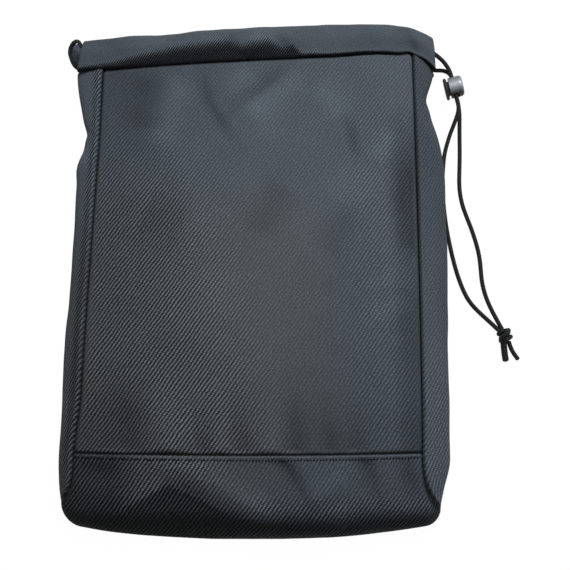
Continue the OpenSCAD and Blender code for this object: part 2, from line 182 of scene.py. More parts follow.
class NodeSheet:
    """The nodes of one material or world."""

    def __init__(self, tree: bpy.types.NodeTree) -> None:
        """Starts from an empty node tree."""
        self.tree = tree
        tree.nodes.clear()

    def node(
        self, kind: str, settings: dict | None = None, sockets: dict | None = None, out: int | str = 0
    ) -> Value:
        """Adds one node.

        Args:
            kind: the node's type.
            settings: attributes of the node, which are set first.
            sockets: values or links of the node's inputs, by name or number.
            out: which output is returned.

        Returns:
            The chosen output.
        """
        made = self.tree.nodes.new(kind)
        for key, value in (settings or {}).items():
            setattr(made, key, value)
        for key, value in (sockets or {}).items():
            if isinstance(value, Value):
                self.tree.links.new(value.socket, made.inputs[key])
            else:
                made.inputs[key].default_value = value
        return Value(self, made.outputs[out]) if len(made.outputs) else Value(self, None)

    def on_cloth(self) -> Value:
        """Places in a cloth's or cord's own map."""
        return self.node("ShaderNodeUVMap", {"uv_map": WEAVE})

    def on_solid(self) -> Value:
        """Places on the bag, in metres."""
        return self.node("ShaderNodeTexCoord", out="Object")

    def split(self, place: Value) -> tuple[Value, Value]:
        """The X and the Y of a place."""
        x = self.node("ShaderNodeSeparateXYZ", None, {"Vector": place})
        return x, x.output("Y")

    def look(self, name: str) -> Value:
        """A number that the cloth carries at each point."""
        return self.node("ShaderNodeAttribute", {"attribute_name": name}, out="Fac")

    def mix(self, share: Value, first: Any, second: Any) -> Value:
        """Mixes two colours by a share from 0, the first, to 1, the second."""
        return self.node("ShaderNodeMix", {"data_type": "RGBA"}, {0: share, 6: first, 7: second}, out=2)

    def shade(self, colour: Value, by: Value) -> Value:
        """Multiplies a colour by a number.

        Args:
            colour: the colour.
            by: the number.

        Returns:
            The colour made lighter or darker.
        """
        grey = self.node("ShaderNodeCombineColor", None, {"Red": by, "Green": by, "Blue": by})
        settings = {"data_type": "RGBA", "blend_type": "MULTIPLY"}
        return self.node("ShaderNodeMix", settings, {0: 1.0, 6: colour, 7: grey}, out=2)

    def noise(self, place: Value, scale: float, detail: float = 2.0) -> Value:
        """Soft noise around one half, at a number of features per unit of place."""
        return self.node("ShaderNodeTexNoise", None, {"Vector": place, "Scale": scale, "Detail": detail})

    def bump(self, height: Value, depth: float) -> Value:
        """A bump normal from a height between 0 and 1 and a depth in millimetres."""
        sockets = {"Strength": 1.0, "Distance": depth * MM, "Height": height}
        return self.node("ShaderNodeBump", None, sockets)

    def surface(self, sockets: dict) -> None:
        """Ends the nodes in a principled surface."""
        shader = self.node("ShaderNodeBsdfPrincipled", None, sockets)
        self.node("ShaderNodeOutputMaterial", None, {"Surface": shader})


def linear(channel: float) -> float:
    """One channel of a colour as it reads on screen, from 0 to 255, as linear light."""
    c = channel / 255
    return c / 12.92 if c <= 0.04045 else ((c + 0.055) / 1.055) ** 2.4


def rgba(red: float, green: float, blue: float) -> Colour:
    """A colour given as it reads on screen."""
    return linear(red), linear(green), linear(blue), 1.0


def lighter(colour: Colour, times: float, plus: float = 0.0) -> Colour:
    """A colour made lighter, at most to white."""
    return tuple(min(1.0, c * times + plus) for c in colour[:3]) + (1.0,)


class Finish:
    """A material that is made once and then shared."""

    name: str
    _made: dict[str, bpy.types.Material] = {}

    def draw(self, sheet: NodeSheet) -> None:
        """Fills in the finish's nodes.

        Args:
            sheet: the material's empty nodes.
        """
        raise NotImplementedError

    def material(self) -> bpy.types.Material:
        """Makes the finish a Blender material.

        Returns:
            The material, the same one each time.
        """
        if self.name not in Finish._made:
            made = bpy.data.materials.new(self.name)
            made.use_nodes = True
            self.draw(NodeSheet(made.node_tree))
            Finish._made[self.name] = made
        return Finish._made[self.name]


@dataclass(frozen=True)
class TwillFinish(Finish):
    """Bold diagonal twill, read from the cloth's own map in metres."""

    name: str = "twill"
    cool: Colour = rgba(119, 131, 143)
    warm: Colour = rgba(128, 131, 134)
    groove: Colour = rgba(11, 14, 17)
    pitch: float = 2.3
    lean: float = 56.0
    depth: float = 0.5
    weft: float = 1.4

    def draw(self, sheet: NodeSheet) -> None:
        """Ribs along the lean, crossed by fine weft yarns; the rib contrast, varied as painted light, says
        how far they stand out.

        Args:
            sheet: the material's empty nodes.
        """
        place = sheet.on_cloth()
        across, along = sheet.split(place)
        # The first look is light and shade painted into the cloth's colour.
        painted_shade, rib_contrast, tint = (sheet.look(name) for name in (PAINTED_SHADE, RIB_CONTRAST, TINT))
        turn = math.radians(self.lean)
        wobble = sheet.noise(place, 55.0, 1.0) * 0.7 + sheet.noise(place, 330.0, 1.0) * 0.28
        phase = (along * math.cos(turn) - across * math.sin(turn)) / (self.pitch * MM) + wobble
        weft = (along / (self.weft * MM) + phase * 0.5).wave()
        rib = phase.wave()
        fuzz = sheet.noise(place, 2600.0, 2.0)
        slub = sheet.noise(place, 760.0, 2.0)
        height = rib * 0.8 + weft * 0.12 + fuzz * 0.12
        bead = rib * ((weft - 0.5) * 0.35 + (slub - 0.5) * 1.0 + 1.0)
        # Where the rib contrast passes 1, the ground between the ribs is painted darker, as shade.
        ribs = (bead ** 2.2 * 1.15 - 0.36) * rib_contrast - (rib_contrast.math("MAXIMUM", 1.0) - 1.0) * 0.4
        share = ribs + (weft - 0.5) * 0.1 + (fuzz - 0.5) * 0.35 + (slub - 0.5) * 0.5 + 0.36
        colour = sheet.mix(share, self.groove, sheet.mix(tint, self.cool, self.warm))
        worn = sheet.noise(place, 14.0, 3.0) * 0.24 + 0.88
        sheet.surface(
            {
                "Base Color": sheet.shade(colour, worn * painted_shade),
                "Roughness": 0.92 - rib * 0.22,
                "Specular IOR Level": 0.08,
                "Sheen Weight": 0.05,
                "Sheen Roughness": 0.45,
                "Normal": sheet.bump(height * (rib_contrast * 0.8 + 0.15), self.depth),
            }
        )


@dataclass(frozen=True)
class ThreadFinish(Finish):
    """Twisted sewing thread."""

    name: str = "thread"
    colour: Colour = rgba(6, 7, 8)
    pitch: float = 0.5
    depth: float = 0.1

    def draw(self, sheet: NodeSheet) -> None:
        """Fine slanted plies.

        Args:
            sheet: the material's empty nodes.
        """
        across, along = sheet.split(sheet.on_solid())
        ply = ((across + along) / (self.pitch * MM)).wave()
        sheet.surface(
            {
                "Base Color": sheet.mix(ply, self.colour, lighter(self.colour, 2.0)),
                "Roughness": 0.6 + ply * 0.15,
                "Specular IOR Level": 0.06,
                "Normal": sheet.bump(ply, self.depth),
            }
        )


@dataclass(frozen=True)
class TapeFinish(Finish):
    """Plain woven binding tape inside the bag."""

    name: str = "seam_tape"
    colour: Colour = rgba(44, 47, 51)
    pitch: float = 0.7
    depth: float = 0.15

    def draw(self, sheet: NodeSheet) -> None:
        """A close ribbed weave.

        Args:
            sheet: the material's empty nodes.
        """
        across, along = sheet.split(sheet.on_cloth())
        weave = (across / (self.pitch * MM)).wave() * (along / (self.pitch * MM)).wave()
        sheet.surface(
            {
                "Base Color": sheet.mix(weave, self.colour, lighter(self.colour, 1.8)),
                "Roughness": 0.85 - weave * 0.1,
                "Sheen Weight": 0.2,
                "Normal": sheet.bump(weave, self.depth),
            }
        )


@dataclass(frozen=True)
class BraidFinish(Finish):
    """Round braid of shiny black yarn; its map runs once round and along in metres."""

    name: str = "braid"
    dark: Colour = rgba(4, 5, 5)
    light: Colour = rgba(31, 33, 33)
    strands: float = 8.0
    pitch: float = 4.6
    depth: float = 0.35

    def draw(self, sheet: NodeSheet) -> None:
        """Two sets of strands that pass over and under each other.

        Args:
            sheet: the material's empty nodes.
        """
        place = sheet.on_cloth()
        turns, length = sheet.split(place)
        around = turns * (self.strands / 2)
        along = length / (self.pitch * MM) * (self.strands / 4)
        right, left = around + along, around - along
        over = (turns * self.strands + 0.25).wave() * 0.5 + (along * 2.0).wave() * 0.5
        plait = right.wave() * over + left.wave() * (1.0 - over)
        yarn = sheet.noise(place, 900.0, 2.0)
        share = plait ** 1.5 * 0.7 + yarn * 0.3
        sheet.surface(
            {
                "Base Color": sheet.mix(share, self.dark, self.light),
                "Roughness": 0.62 - plait * 0.2,
                "Specular IOR Level": 0.14,
                "Sheen Weight": 0.03,
                "Normal": sheet.bump(plait * 0.85 + yarn * 0.15, self.depth),
            }
        )


@dataclass(frozen=True)
class PlasticFinish(Finish):
    """Moulded plastic with a fine satin grain and faint drawn scratches."""

    name: str
    colour: Colour
    gloss: float
    metal: float = 0.0
    # Painted shade colour above and below a painted highlight band, for a painted reflection.
    painted_shade_colour: Colour | None = None
    depth: float = 0.02

    def draw(self, sheet: NodeSheet) -> None:
        """Satin grain, with scuffs that dull and lighten it, and a painted reflection: darker in colour
        away from a painted highlight band.

        Args:
            sheet: the material's empty nodes.
        """
        place = sheet.on_solid()
        grain = sheet.noise(place, 5200.0, 2.0)
        drawn = sheet.node("ShaderNodeMapping", None, {"Vector": place, "Scale": (120.0, 2400.0, 2400.0)})
        scratch = sheet.noise(drawn, 1.0, 2.0)
        scuff = sheet.noise(place, 420.0, 3.0)
        base = sheet.mix(scuff * 0.5 + scratch * 0.5, self.colour, lighter(self.colour, 1.7, 0.01))
        # A painted highlight band along the barrel, fading to painted shade above and below it.
        if self.painted_shade_colour:
            sockets = {
                "Vector": place,
                "Location": tuple(c * MM for c in LOCK.middle),
                "Rotation": (0.0, 0.0, math.radians(LOCK.turn)),
                "Scale": (LOCK.barrel_d / 2 * MM,) * 3,
            }
            centred = sheet.node("ShaderNodeMapping", {"vector_type": "TEXTURE"}, sockets)
            _, height = sheet.split(centred)
            away = ((height + 0.1) * 0.7).math("MAXIMUM", (height + 0.3) * -1.8)
            base = sheet.mix(away.math("MINIMUM", 1.0), base, self.painted_shade_colour)
        sheet.surface(
            {
                "Base Color": base,
                "Roughness": scuff * 0.16 + scratch * 0.12 + self.gloss,
                "Metallic": self.metal,
                "Specular IOR Level": 0.3,
                "Normal": sheet.bump(grain * 0.6 + scratch * 0.4, self.depth),
            }
        )


@dataclass(frozen=True)
class WireFinish(Finish):
    """Drawn spring steel."""

    name: str = "spring_wire"
    dark: Colour = rgba(150, 152, 156)
    bright: Colour = rgba(205, 207, 210)
    depth: float = 0.01

    def draw(self, sheet: NodeSheet) -> None:
        """Bright metal, streaked by drawing.

        Args:
            sheet: the material's empty nodes.
        """
        streak = sheet.noise(sheet.on_solid(), 3000.0, 2.0)
        sheet.surface(
            {
                "Base Color": sheet.mix(streak, self.dark, self.bright),
                "Metallic": 1.0,
                "Roughness": streak * 0.2 + 0.2,
                "Normal": sheet.bump(streak, self.depth),
            }
        )


# Cloth on a grid


def smooth(x: Array | float) -> Array:
    """An ease from 0 to 1."""
    x = np.clip(x, 0.0, 1.0)
    return x * x * (3.0 - 2.0 * x)


def bell(distance: Array | float, width: float | Array) -> Array:
    """1 at no distance, falling off softly over a width."""
    return np.exp(-((distance / width) ** 2))


def mix(a: Any, b: Any, share: Any) -> Any:
    """A value between a and b."""
    return a + (b - a) * share


def sine(degrees: Any) -> Any:
    """Sine of an angle in degrees."""
    return np.sin(np.radians(degrees))


def cosine(degrees: Any) -> Any:
    """Cosine of an angle in degrees."""
    return np.cos(np.radians(degrees))


def stack(x: Array, y: Array, z: Array) -> Array:
    """Points from their three coordinates."""
    return np.stack(np.broadcast_arrays(x, y, z), axis=-1).astype(float)


def read_off(line: Line, x: Array) -> Array:
    """Values of a drawn line at places along it."""
    return np.interp(x, *np.array(line, float).T)


def arc_lengths(points: Array) -> Array:
    """Distance along a line at each of its points."""
    return np.concatenate([[0.0], np.cumsum(np.linalg.norm(np.diff(points, axis=0), axis=1))])


def at_lengths(line: Array, knots: Array, lengths: Array | float) -> Array:
    """Places on a line, whose points are at the knots, at lengths along it."""
    return np.stack([np.interp(lengths, knots, line[:, k]) for k in range(3)], axis=-1)


def let_out(points: Array) -> Array:
    """Distance round the cloth, from a grid's first row to each of its points."""
    return np.linalg.norm(np.diff(points, axis=0, prepend=points[:1]), axis=-1).cumsum(axis=0)


def ripple(x: Array, y: Array, size: float, seed: float) -> Array:
    """Smooth noise over flat places, about -1 to 1, with humps of the given size."""
    flat = [noise.noise(Vector((a / size + seed, b / size, seed))) for a, b in zip(x.ravel(), y.ravel())]
    return np.array(flat).reshape(x.shape)


@dataclass(frozen=True)
class Crease:
    """A ridge, or a valley where its height is negative, along a line on the flat cloth."""

    line: Line
    height: float
    width: float
    other: float = 0.0
    fade: float = 0.25

    def relief(self, x: Array, y: Array) -> Array:
        """How far the crease lifts the cloth.

        Args:
            x: flat places across.
            y: flat places along.

        Returns:
            Heights of the same shape.
        """
        points = np.array(self.line, float)
        spans = np.linalg.norm(np.diff(points, axis=0), axis=1)
        starts = np.concatenate([[0.0], np.cumsum(spans)])
        best, side, share = np.full(x.shape, np.inf), np.ones(x.shape), np.zeros(x.shape)
        for (px, py), (qx, qy), span, start in zip(points, points[1:], spans, starts):
            dx, dy = (qx - px) / span, (qy - py) / span
            t = np.clip((x - px) * dx + (y - py) * dy, 0.0, span)
            off = np.hypot(x - px - t * dx, y - py - t * dy)
            nearer = off < best
            best = np.where(nearer, off, best)
            side = np.where(nearer, (x - px) * dy - (y - py) * dx, side)
            share = np.where(nearer, (start + t) / starts[-1], share)
        width = np.where(side >= 0, self.width, self.other or self.width)
        ends = smooth(np.minimum(share, 1.0 - share) / self.fade) * 0.85 + 0.15 if self.fade else 1.0
        return self.height * bell(best, width) * ends


def folds(creases: Sequence[Crease], x: Array, y: Array) -> Array:
    """How far several creases together lift the cloth."""
    return sum((crease.relief(x, y) for crease in creases), np.zeros(x.shape))


def crowd(count: int, start: float = 1.0, end: float = 1.0) -> Array:
    """Shares from 0 to 1 whose steps are narrower at the ends, each given against an even step."""
    t = np.linspace(0, 1, count + 1)
    return (start + end - 2) * t**3 + (3 - 2 * start - end) * t**2 + start * t


def add_object(name: str, data: Any) -> bpy.types.Object:
    """Puts a new object in the scene.

    Args:
        name: the object's name.
        data: its mesh, camera or lamp.

    Returns:
        The object.
    """
    made = bpy.data.objects.new(name, data)
    bpy.context.scene.collection.objects.link(made)
    return made


def finish_mesh(name: str, bm: bmesh.types.BMesh) -> bpy.types.Object:
    """Makes a mesh under construction an object, with smooth faces.

    Args:
        name: the object's name.
        bm: the mesh, which is used up.

    Returns:
        The object.
    """
    for face in bm.faces:
        face.smooth = True
    data = bpy.data.meshes.new(name)
    bm.to_mesh(data)
    bm.free()
    return add_object(name, data)


class ClothGrid:
    """Points of a sheet on a grid, which are moved into shape and then made a mesh."""

    def __init__(self, across: Array, along: Array, tube: bool = False) -> None:
        """Sets out the grid's two shares, u across and v along, from their steps."""
        self.across, self.along, self.tube = len(across) - 1, len(along) - 1, tube
        self.u, self.v = np.meshgrid(across, along, indexing="ij")

    def normals(self, points: Array) -> Array:
        """Outward directions at the points.

        Args:
            points: the grid's points.

        Returns:
            One direction of length 1 for each.
        """
        if self.tube:
            ring = points[:-1]
            du = np.roll(ring, -1, axis=0) - np.roll(ring, 1, axis=0)
            du = np.concatenate([du, du[:1]])
        else:
            du = np.gradient(points, axis=0)
        out = np.cross(du, np.gradient(points, axis=1))
        return out / np.maximum(np.linalg.norm(out, axis=-1, keepdims=True), 1e-9)

    def lift(self, points: Array, height: Array) -> Array:
        """The points moved outward by a height."""
        return points + self.normals(points) * height[..., None]

    def mesh(
        self,
        name: str,
        points: Array,
        weave: Array,
        shade: Array | float = 1.0,
        rib_contrast: Array | float = 0.5,
        tint: Array | float = 0.1,
    ) -> bpy.types.Object:
        """Makes the formed sheet a Blender object.

        Args:
            name: the piece's name.
            points: the grid's points in millimetres.
            weave: the grid's places in the cloth's own map, in metres.
            shade: how light the cloth is at each point.
            rib_contrast: how far the ribs stand out at each point, varied as painted light.
            tint: how warm the cloth's colour is at each point.

        Returns:
            The object, linked to the scene.
        """
        bm = bmesh.new()
        bmesh.ops.create_grid(bm, x_segments=self.across, y_segments=self.along, size=0.5)
        layer = bm.loops.layers.uv.new(WEAVE)
        looks = {PAINTED_SHADE: shade, RIB_CONTRAST: rib_contrast, TINT: tint}
        for look in looks:
            bm.verts.layers.float.new(look)
        layers = {
            bm.verts.layers.float[look]: np.broadcast_to(value, points.shape[:2])
            for look, value in looks.items()
        }
        spots = {
            vert: (round((vert.co.x + 0.5) * self.across), round((vert.co.y + 0.5) * self.along))
            for vert in bm.verts
        }
        for face in bm.faces:
            for loop in face.loops:
                loop[layer].uv = weave[spots[loop.vert]]
        for vert, spot in spots.items():
            for key, value in layers.items():
                vert[key] = float(value[spot])
            vert.co = points[spot] * MM
        bmesh.ops.remove_doubles(bm, verts=bm.verts, dist=1e-6)
        return finish_mesh(name, bm)


def dress(piece: bpy.types.Object, finish: Finish, body: Body, slot: Slot, *nodes: str) -> bpy.types.Object:
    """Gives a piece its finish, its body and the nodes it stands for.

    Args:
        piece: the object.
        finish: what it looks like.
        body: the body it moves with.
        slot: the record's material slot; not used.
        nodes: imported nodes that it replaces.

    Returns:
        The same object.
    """
    piece.data.materials.clear()
    piece.data.materials.append(finish.material())
    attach(piece, body.value)
    if nodes:
        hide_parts(*nodes)
    LOG.info("%s rides on %s", piece.name, body.value)
    return piece


# The bag's form


@dataclass(frozen=True)
class BagForm:
    """Sizes of the sewn bag and the surfaces that its pieces lie on."""

    bag_l: float = 380.0
    half_panel: float = 116.0
    seam_h: float = 30.0
    crown: float = 8.0
    band_l: float = 54.0
    band_bow: float = 1.8
    end_h: float = 9.0
    under_r: float = 14.0
    end_rise: float = 10.5
    corner_r: dict = pair(14.0, 10.0)
    corner_out: float = 12.0
    corner_turn: tuple[float, float] = (3.0, 2.4)
    corner_swell: dict = pair(1.45, 2.0)
    wrap_full: float = 0.72
    wrap_slack: float = 1.3
    slack_at: float = -46.0
    slack_w: float = 40.0
    gusset_band: dict = pair(12.9, 20.4)
    gusset_mid: dict = pair(16.3, 22.3)
    gusset_neck: dict = pair(12.4, 11.8)
    gusset_top: dict = pair(21.3, 16.0)
    gusset_end: dict = pair(1.9, 2.3)
    gusset_full: dict = pair(0.22, 0.45)
    gusset_mouth: float = 24.0
    neck: dict = pair(62.0, 30.0)
    swell: dict = pair(86.0, 92.0)
    collar_l: float = 26.0
    casing_d: float = 9.0
    mouth_gap: float = 6.5
    collar_droop: float = 5.5
    collar_peak: float = 85.0
    dip_left: float = 12.5
    dip_right: float = 13.0
    fall_left: float = 11.5
    fall_right: float = 12.0
    hump: tuple[float, float, float] = (1.2, 80.0, 45.0)
    end_drop: Line = ((85, 0), (108, 0.1), (118, 0.6), (123.3, 1.8), (128, 3.5), (132.6, 5.5), (140, 9.5))
    seam_gap: float = 0.25
    fabric_t: float = 1.0

    @property
    def half_bag(self) -> float:
        """Half the bag's greatest width."""
        return self.half_panel + self.gusset_mouth

    @property
    def top_y(self) -> float:
        """The collar's highest line."""
        return self.bag_l / 2

    @property
    def base_y(self) -> float:
        """The base's lowest line."""
        return -self.bag_l / 2

    @property
    def band_y(self) -> float:
        """The seam between the front panel and the base wrap."""
        return self.base_y + self.band_l

    def off_peak(self, x: Array) -> tuple[Array, Array]:
        """How far along the collar a place is from its peak.

        Args:
            x: places across the bag.

        Returns:
            Shares of the way to the left end and to the right end.
        """
        left = np.clip(self.collar_peak - x, 0, None) / (self.collar_peak + self.half_bag)
        right = np.clip(x - self.collar_peak, 0, None) / (self.half_bag - self.collar_peak)
        return left, right

    def casing_y(self, x: Array) -> Array:
        """The middle line of the cord's casing.

        Args:
            x: places across the bag.

        Returns:
            Its places along the bag.
        """
        left, right = self.off_peak(x)
        dip = self.dip_left * left**1.5 + self.dip_right * right**4
        return self.top_y - self.collar_l / 2 - dip

    def collar_hump(self, x: Array) -> Array:
        """The rise that the collar's two edges share near its peak."""
        height, middle, width = self.hump
        return height * bell(x - middle, width)

    def collar_top(self, x: Array) -> Array:
        """The collar's upper fold, which peaks near the right and drops at its end.

        Args:
            x: places across the bag.

        Returns:
            Its places along the bag.
        """
        left, _ = self.off_peak(x)
        sag = self.collar_hump(x) - 2.0 * bell(x + 76, 22)
        return self.top_y + sag - self.fall_left * left**1.5 - read_off(self.end_drop, x)

    def edge_y(self, x: Array) -> Array:
        """The collar's lower edge, where the panels end under it.

        Args:
            x: places across the bag.

        Returns:
            Its places along the bag.
        """
        left, right = self.off_peak(x)
        width = self.collar_l - 2.8 * smooth((x - 55) / 45) + 1.0 * smooth((x - 128) / 12)
        width = width - 1.3 * smooth((-105 - x) / 30)
        hump = self.collar_hump(x) + 2.0 * bell(x - 119, 5)
        return self.top_y + hump - self.fall_left * left**1.5 - self.fall_right * right**6 - width

    def front_casing_z(self, x: Array) -> Array:
        """Height of the front casing's middle."""
        top = 1.5 * self.casing_d + self.mouth_gap
        return top - self.collar_droop * (np.abs(x) / self.half_bag) ** 3

    def seam_z(self, v: Array) -> Array:
        """Height of the front side seams."""
        return mix(self.front_casing_z(self.half_panel) + 0.5, self.seam_h, sine(90 * (1 - v)))

    def crown_z(self, v: Array) -> Array:
        """How far the panel's middle stands above its side seams."""
        flat = self.front_casing_z(0.0) - self.front_casing_z(self.half_panel)
        return mix(flat, self.crown, sine(90 * (1 - v)))

    @staticmethod
    def crown_at(a: Array) -> Array:
        """Share of the crown across the panel, from -1 to 1."""
        return 1 - np.abs(a) ** 3

    def seam_x(self, a: Array, v: Array) -> Array:
        """Distance of the side seam from the middle, on the side that a lies on.

        Args:
            a: shares across the panel, from -1 to 1.
            v: shares of the panel's length.

        Returns:
            The distances.
        """
        left = self.half_panel + 2.2 * smooth(1 - v / 0.14) + 1.2 * smooth((v - 0.75) / 0.25)
        right = self.half_panel - 1.2 + 7.2 * np.clip(v, 0, None) ** 0.8
        return np.where(a < 0, left, right)

    def band_line(self, a: Array) -> Array:
        """The seam between the front panel and the base wrap, bowed down in its middle."""
        return self.band_y + self.band_bow * (a**2 - 0.4)

    def front(self, a: Array, v: Array) -> Array:
        """The front panel's surface.

        Args:
            a: shares across the panel, from -1 to 1.
            v: shares of its length.

        Returns:
            The points.
        """
        x = a * self.seam_x(a, v)
        z = self.seam_z(v) + self.crown_z(v) * self.crown_at(a)
        return stack(x, mix(self.band_line(a), self.edge_y(x), v), z)

    def wrap_half(self, a: Array, q: Array) -> Array:
        """Half the base wrap's width, on the side that a lies on."""
        share = sine(90 * q) ** np.where(a < 0, *self.corner_turn)
        return mix(self.seam_x(a, np.zeros(np.shape(q))), self.half_panel + self.corner_out, share)

    def wrap_end_y(self, a: Array) -> Array:
        """The base's end line, which rises a little and then turns round its corners.

        Args:
            a: shares across the wrap, from -1 to 1.

        Returns:
            Its places along the bag.
        """
        half = self.half_panel + self.corner_out
        r = np.where(a < 0, self.corner_r[Side.LEFT], self.corner_r[Side.RIGHT])
        t = np.clip((np.abs(a) * half - half + r) / r, 0, 1)
        return self.base_y - 0.7 + self.end_rise * np.abs(a) ** 2.5 + r * (1 - np.sqrt(1 - t**2))

    def over(self, a: Array, q: Array) -> Array:
        """The base wrap above its end line, for q from 0 to 1; slack cloth sinks.

        Args:
            a: shares across the wrap, from -1 to 1.
            q: how far round the base, 0 at the band seam and 1 at the end line.

        Returns:
            The points.
        """
        q = np.clip(q, 0, 1)
        slack = bell(a * self.half_panel - self.slack_at, self.slack_w)
        power = mix(self.wrap_full, self.wrap_slack, slack)
        top = self.seam_h + self.crown * self.crown_at(a)
        y = mix(self.band_line(a), self.wrap_end_y(a), sine(90 * q) ** power)
        return stack(a * self.wrap_half(a, q), y, mix(self.end_h, top, np.abs(cosine(90 * q)) ** power))

    def under(self, a: Array, q: Array) -> Array:
        """The base wrap below its end line, for q from 1 to 2.

        Args:
            a: shares across the wrap, from -1 to 1.
            q: how far round the base, 0 at the band seam and 1 at the end line.

        Returns:
            The points.
        """
        turn = np.clip(180 * (q - 1), 0, 90)
        flat = np.clip(2 * (q - 1) - 1, 0, 1)
        y = mix(self.wrap_end_y(a) + self.under_r * (1 - cosine(turn)), self.band_y, flat)
        half = self.wrap_half(a, np.clip(2 - q, 0, 1))
        return stack(a * half, y, self.end_h * (1 - sine(turn)))

    def gusset_out(self, side: Side, v: Array) -> Array:
        """How far a gusset stands out beside the panels.

        Args:
            side: which gusset.
            v: shares of the panel's length.

        Returns:
            Distances out from the side seam.
        """
        body_l = float(self.edge_y(np.array(side * self.half_panel))) - self.band_y
        mid = self.gusset_mid[side]
        swell, neck = (1 - length[side] / body_l for length in (self.swell, self.neck))
        spots = [0.0, self.gusset_full[side], swell, neck, 1.0]
        outs = [self.gusset_band[side], mid, mid, self.gusset_neck[side], self.gusset_top[side]]
        result = np.full(np.shape(v), outs[0])
        for start, end, a, b in zip(spots, spots[1:], outs, outs[1:]):
            share = np.clip((v - start) / (end - start), 0, 1)
            result = np.where(v >= start, mix(a, b, (1 - np.cos(np.pi * share)) / 2), result)
        return result

    def gusset_body(self, side: Side, s: Array, v: Array) -> Array:
        """A gusset beside the panels.

        Args:
            side: which gusset.
            s: shares across it, 0 at the front seam and 1 at the back seam.
            v: shares of the panel's length.

        Returns:
            The points.
        """
        tuck = 1 - 0.2 * smooth((v - 1) / 0.02)
        seam = self.seam_x(np.full(np.shape(v), float(side)), v)
        x = seam + self.gusset_out(side, v) * sine(180 * s) * tuck
        y = mix(self.band_line(np.array(1.0)), self.edge_y(side * x), v)
        return stack(side * x, y, mix(self.seam_z(v), 0.0, s))

    def gusset_wrap(self, side: Side, s: Array, q: Array) -> Array:
        """A gusset beside the base wrap, narrowing to the corner.

        Args:
            side: which gusset.
            s: shares across it, 0 at the front seam and 1 at the back seam.
            q: how far round the base, 0 at the band seam and 1 at the end line.

        Returns:
            The points.
        """
        a = np.full(np.shape(q), float(side))
        points = mix(self.over(a, q), self.under(a, 2 - q), s[..., None])
        narrow = 1 - sine(90 * q) ** (self.gusset_end[side] * self.wrap_full)
        last = self.corner_turn[side is Side.RIGHT]
        lead = sine(90 * q) ** self.corner_swell[side] - sine(90 * q) ** last
        out = self.gusset_band[side] * narrow + self.corner_out * lead
        points[..., 0] += side * out * sine(180 * s)
        return points


FORM = BagForm()
TWILL = TwillFinish()


def sew(grid: ClothGrid, node: str, points: Array, weave: Array, *looks: Array | float) -> bpy.types.Object:
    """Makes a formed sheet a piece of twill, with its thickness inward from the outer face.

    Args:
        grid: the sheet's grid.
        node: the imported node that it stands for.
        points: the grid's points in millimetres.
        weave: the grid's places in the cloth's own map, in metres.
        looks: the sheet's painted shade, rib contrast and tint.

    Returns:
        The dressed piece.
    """
    piece = grid.mesh(f"{node}_cloth", points, weave, *looks)
    wall = piece.modifiers.new("cloth_thickness", "SOLIDIFY")
    wall.thickness, wall.offset = FORM.fabric_t * MM, -1.0
    wall.use_even_offset = False
    return dress(piece, TWILL, Body.BAG, Slot.TWILL, node)


def edge_roll(distance: Array, depth: float, width: float) -> Array:
    """How far a sheet dives into a seam at a distance from it."""
    return -depth * bell(distance, width)


def painted_seam_shade(distance: Array, amount: float, width: float | Array) -> Array:
    """Painted seam shadow: how much of its colour a sheet keeps at a distance from a seam."""
    return 1 - amount * bell(distance, width)


def painted_fold_shade(relief: Array, gain: float = 0.1) -> Array:
    """Painted shade: ridges a little lighter and hollows a little darker, as light falls across folds."""
    return np.clip(1.0 + gain * relief, 0.45, 1.35)


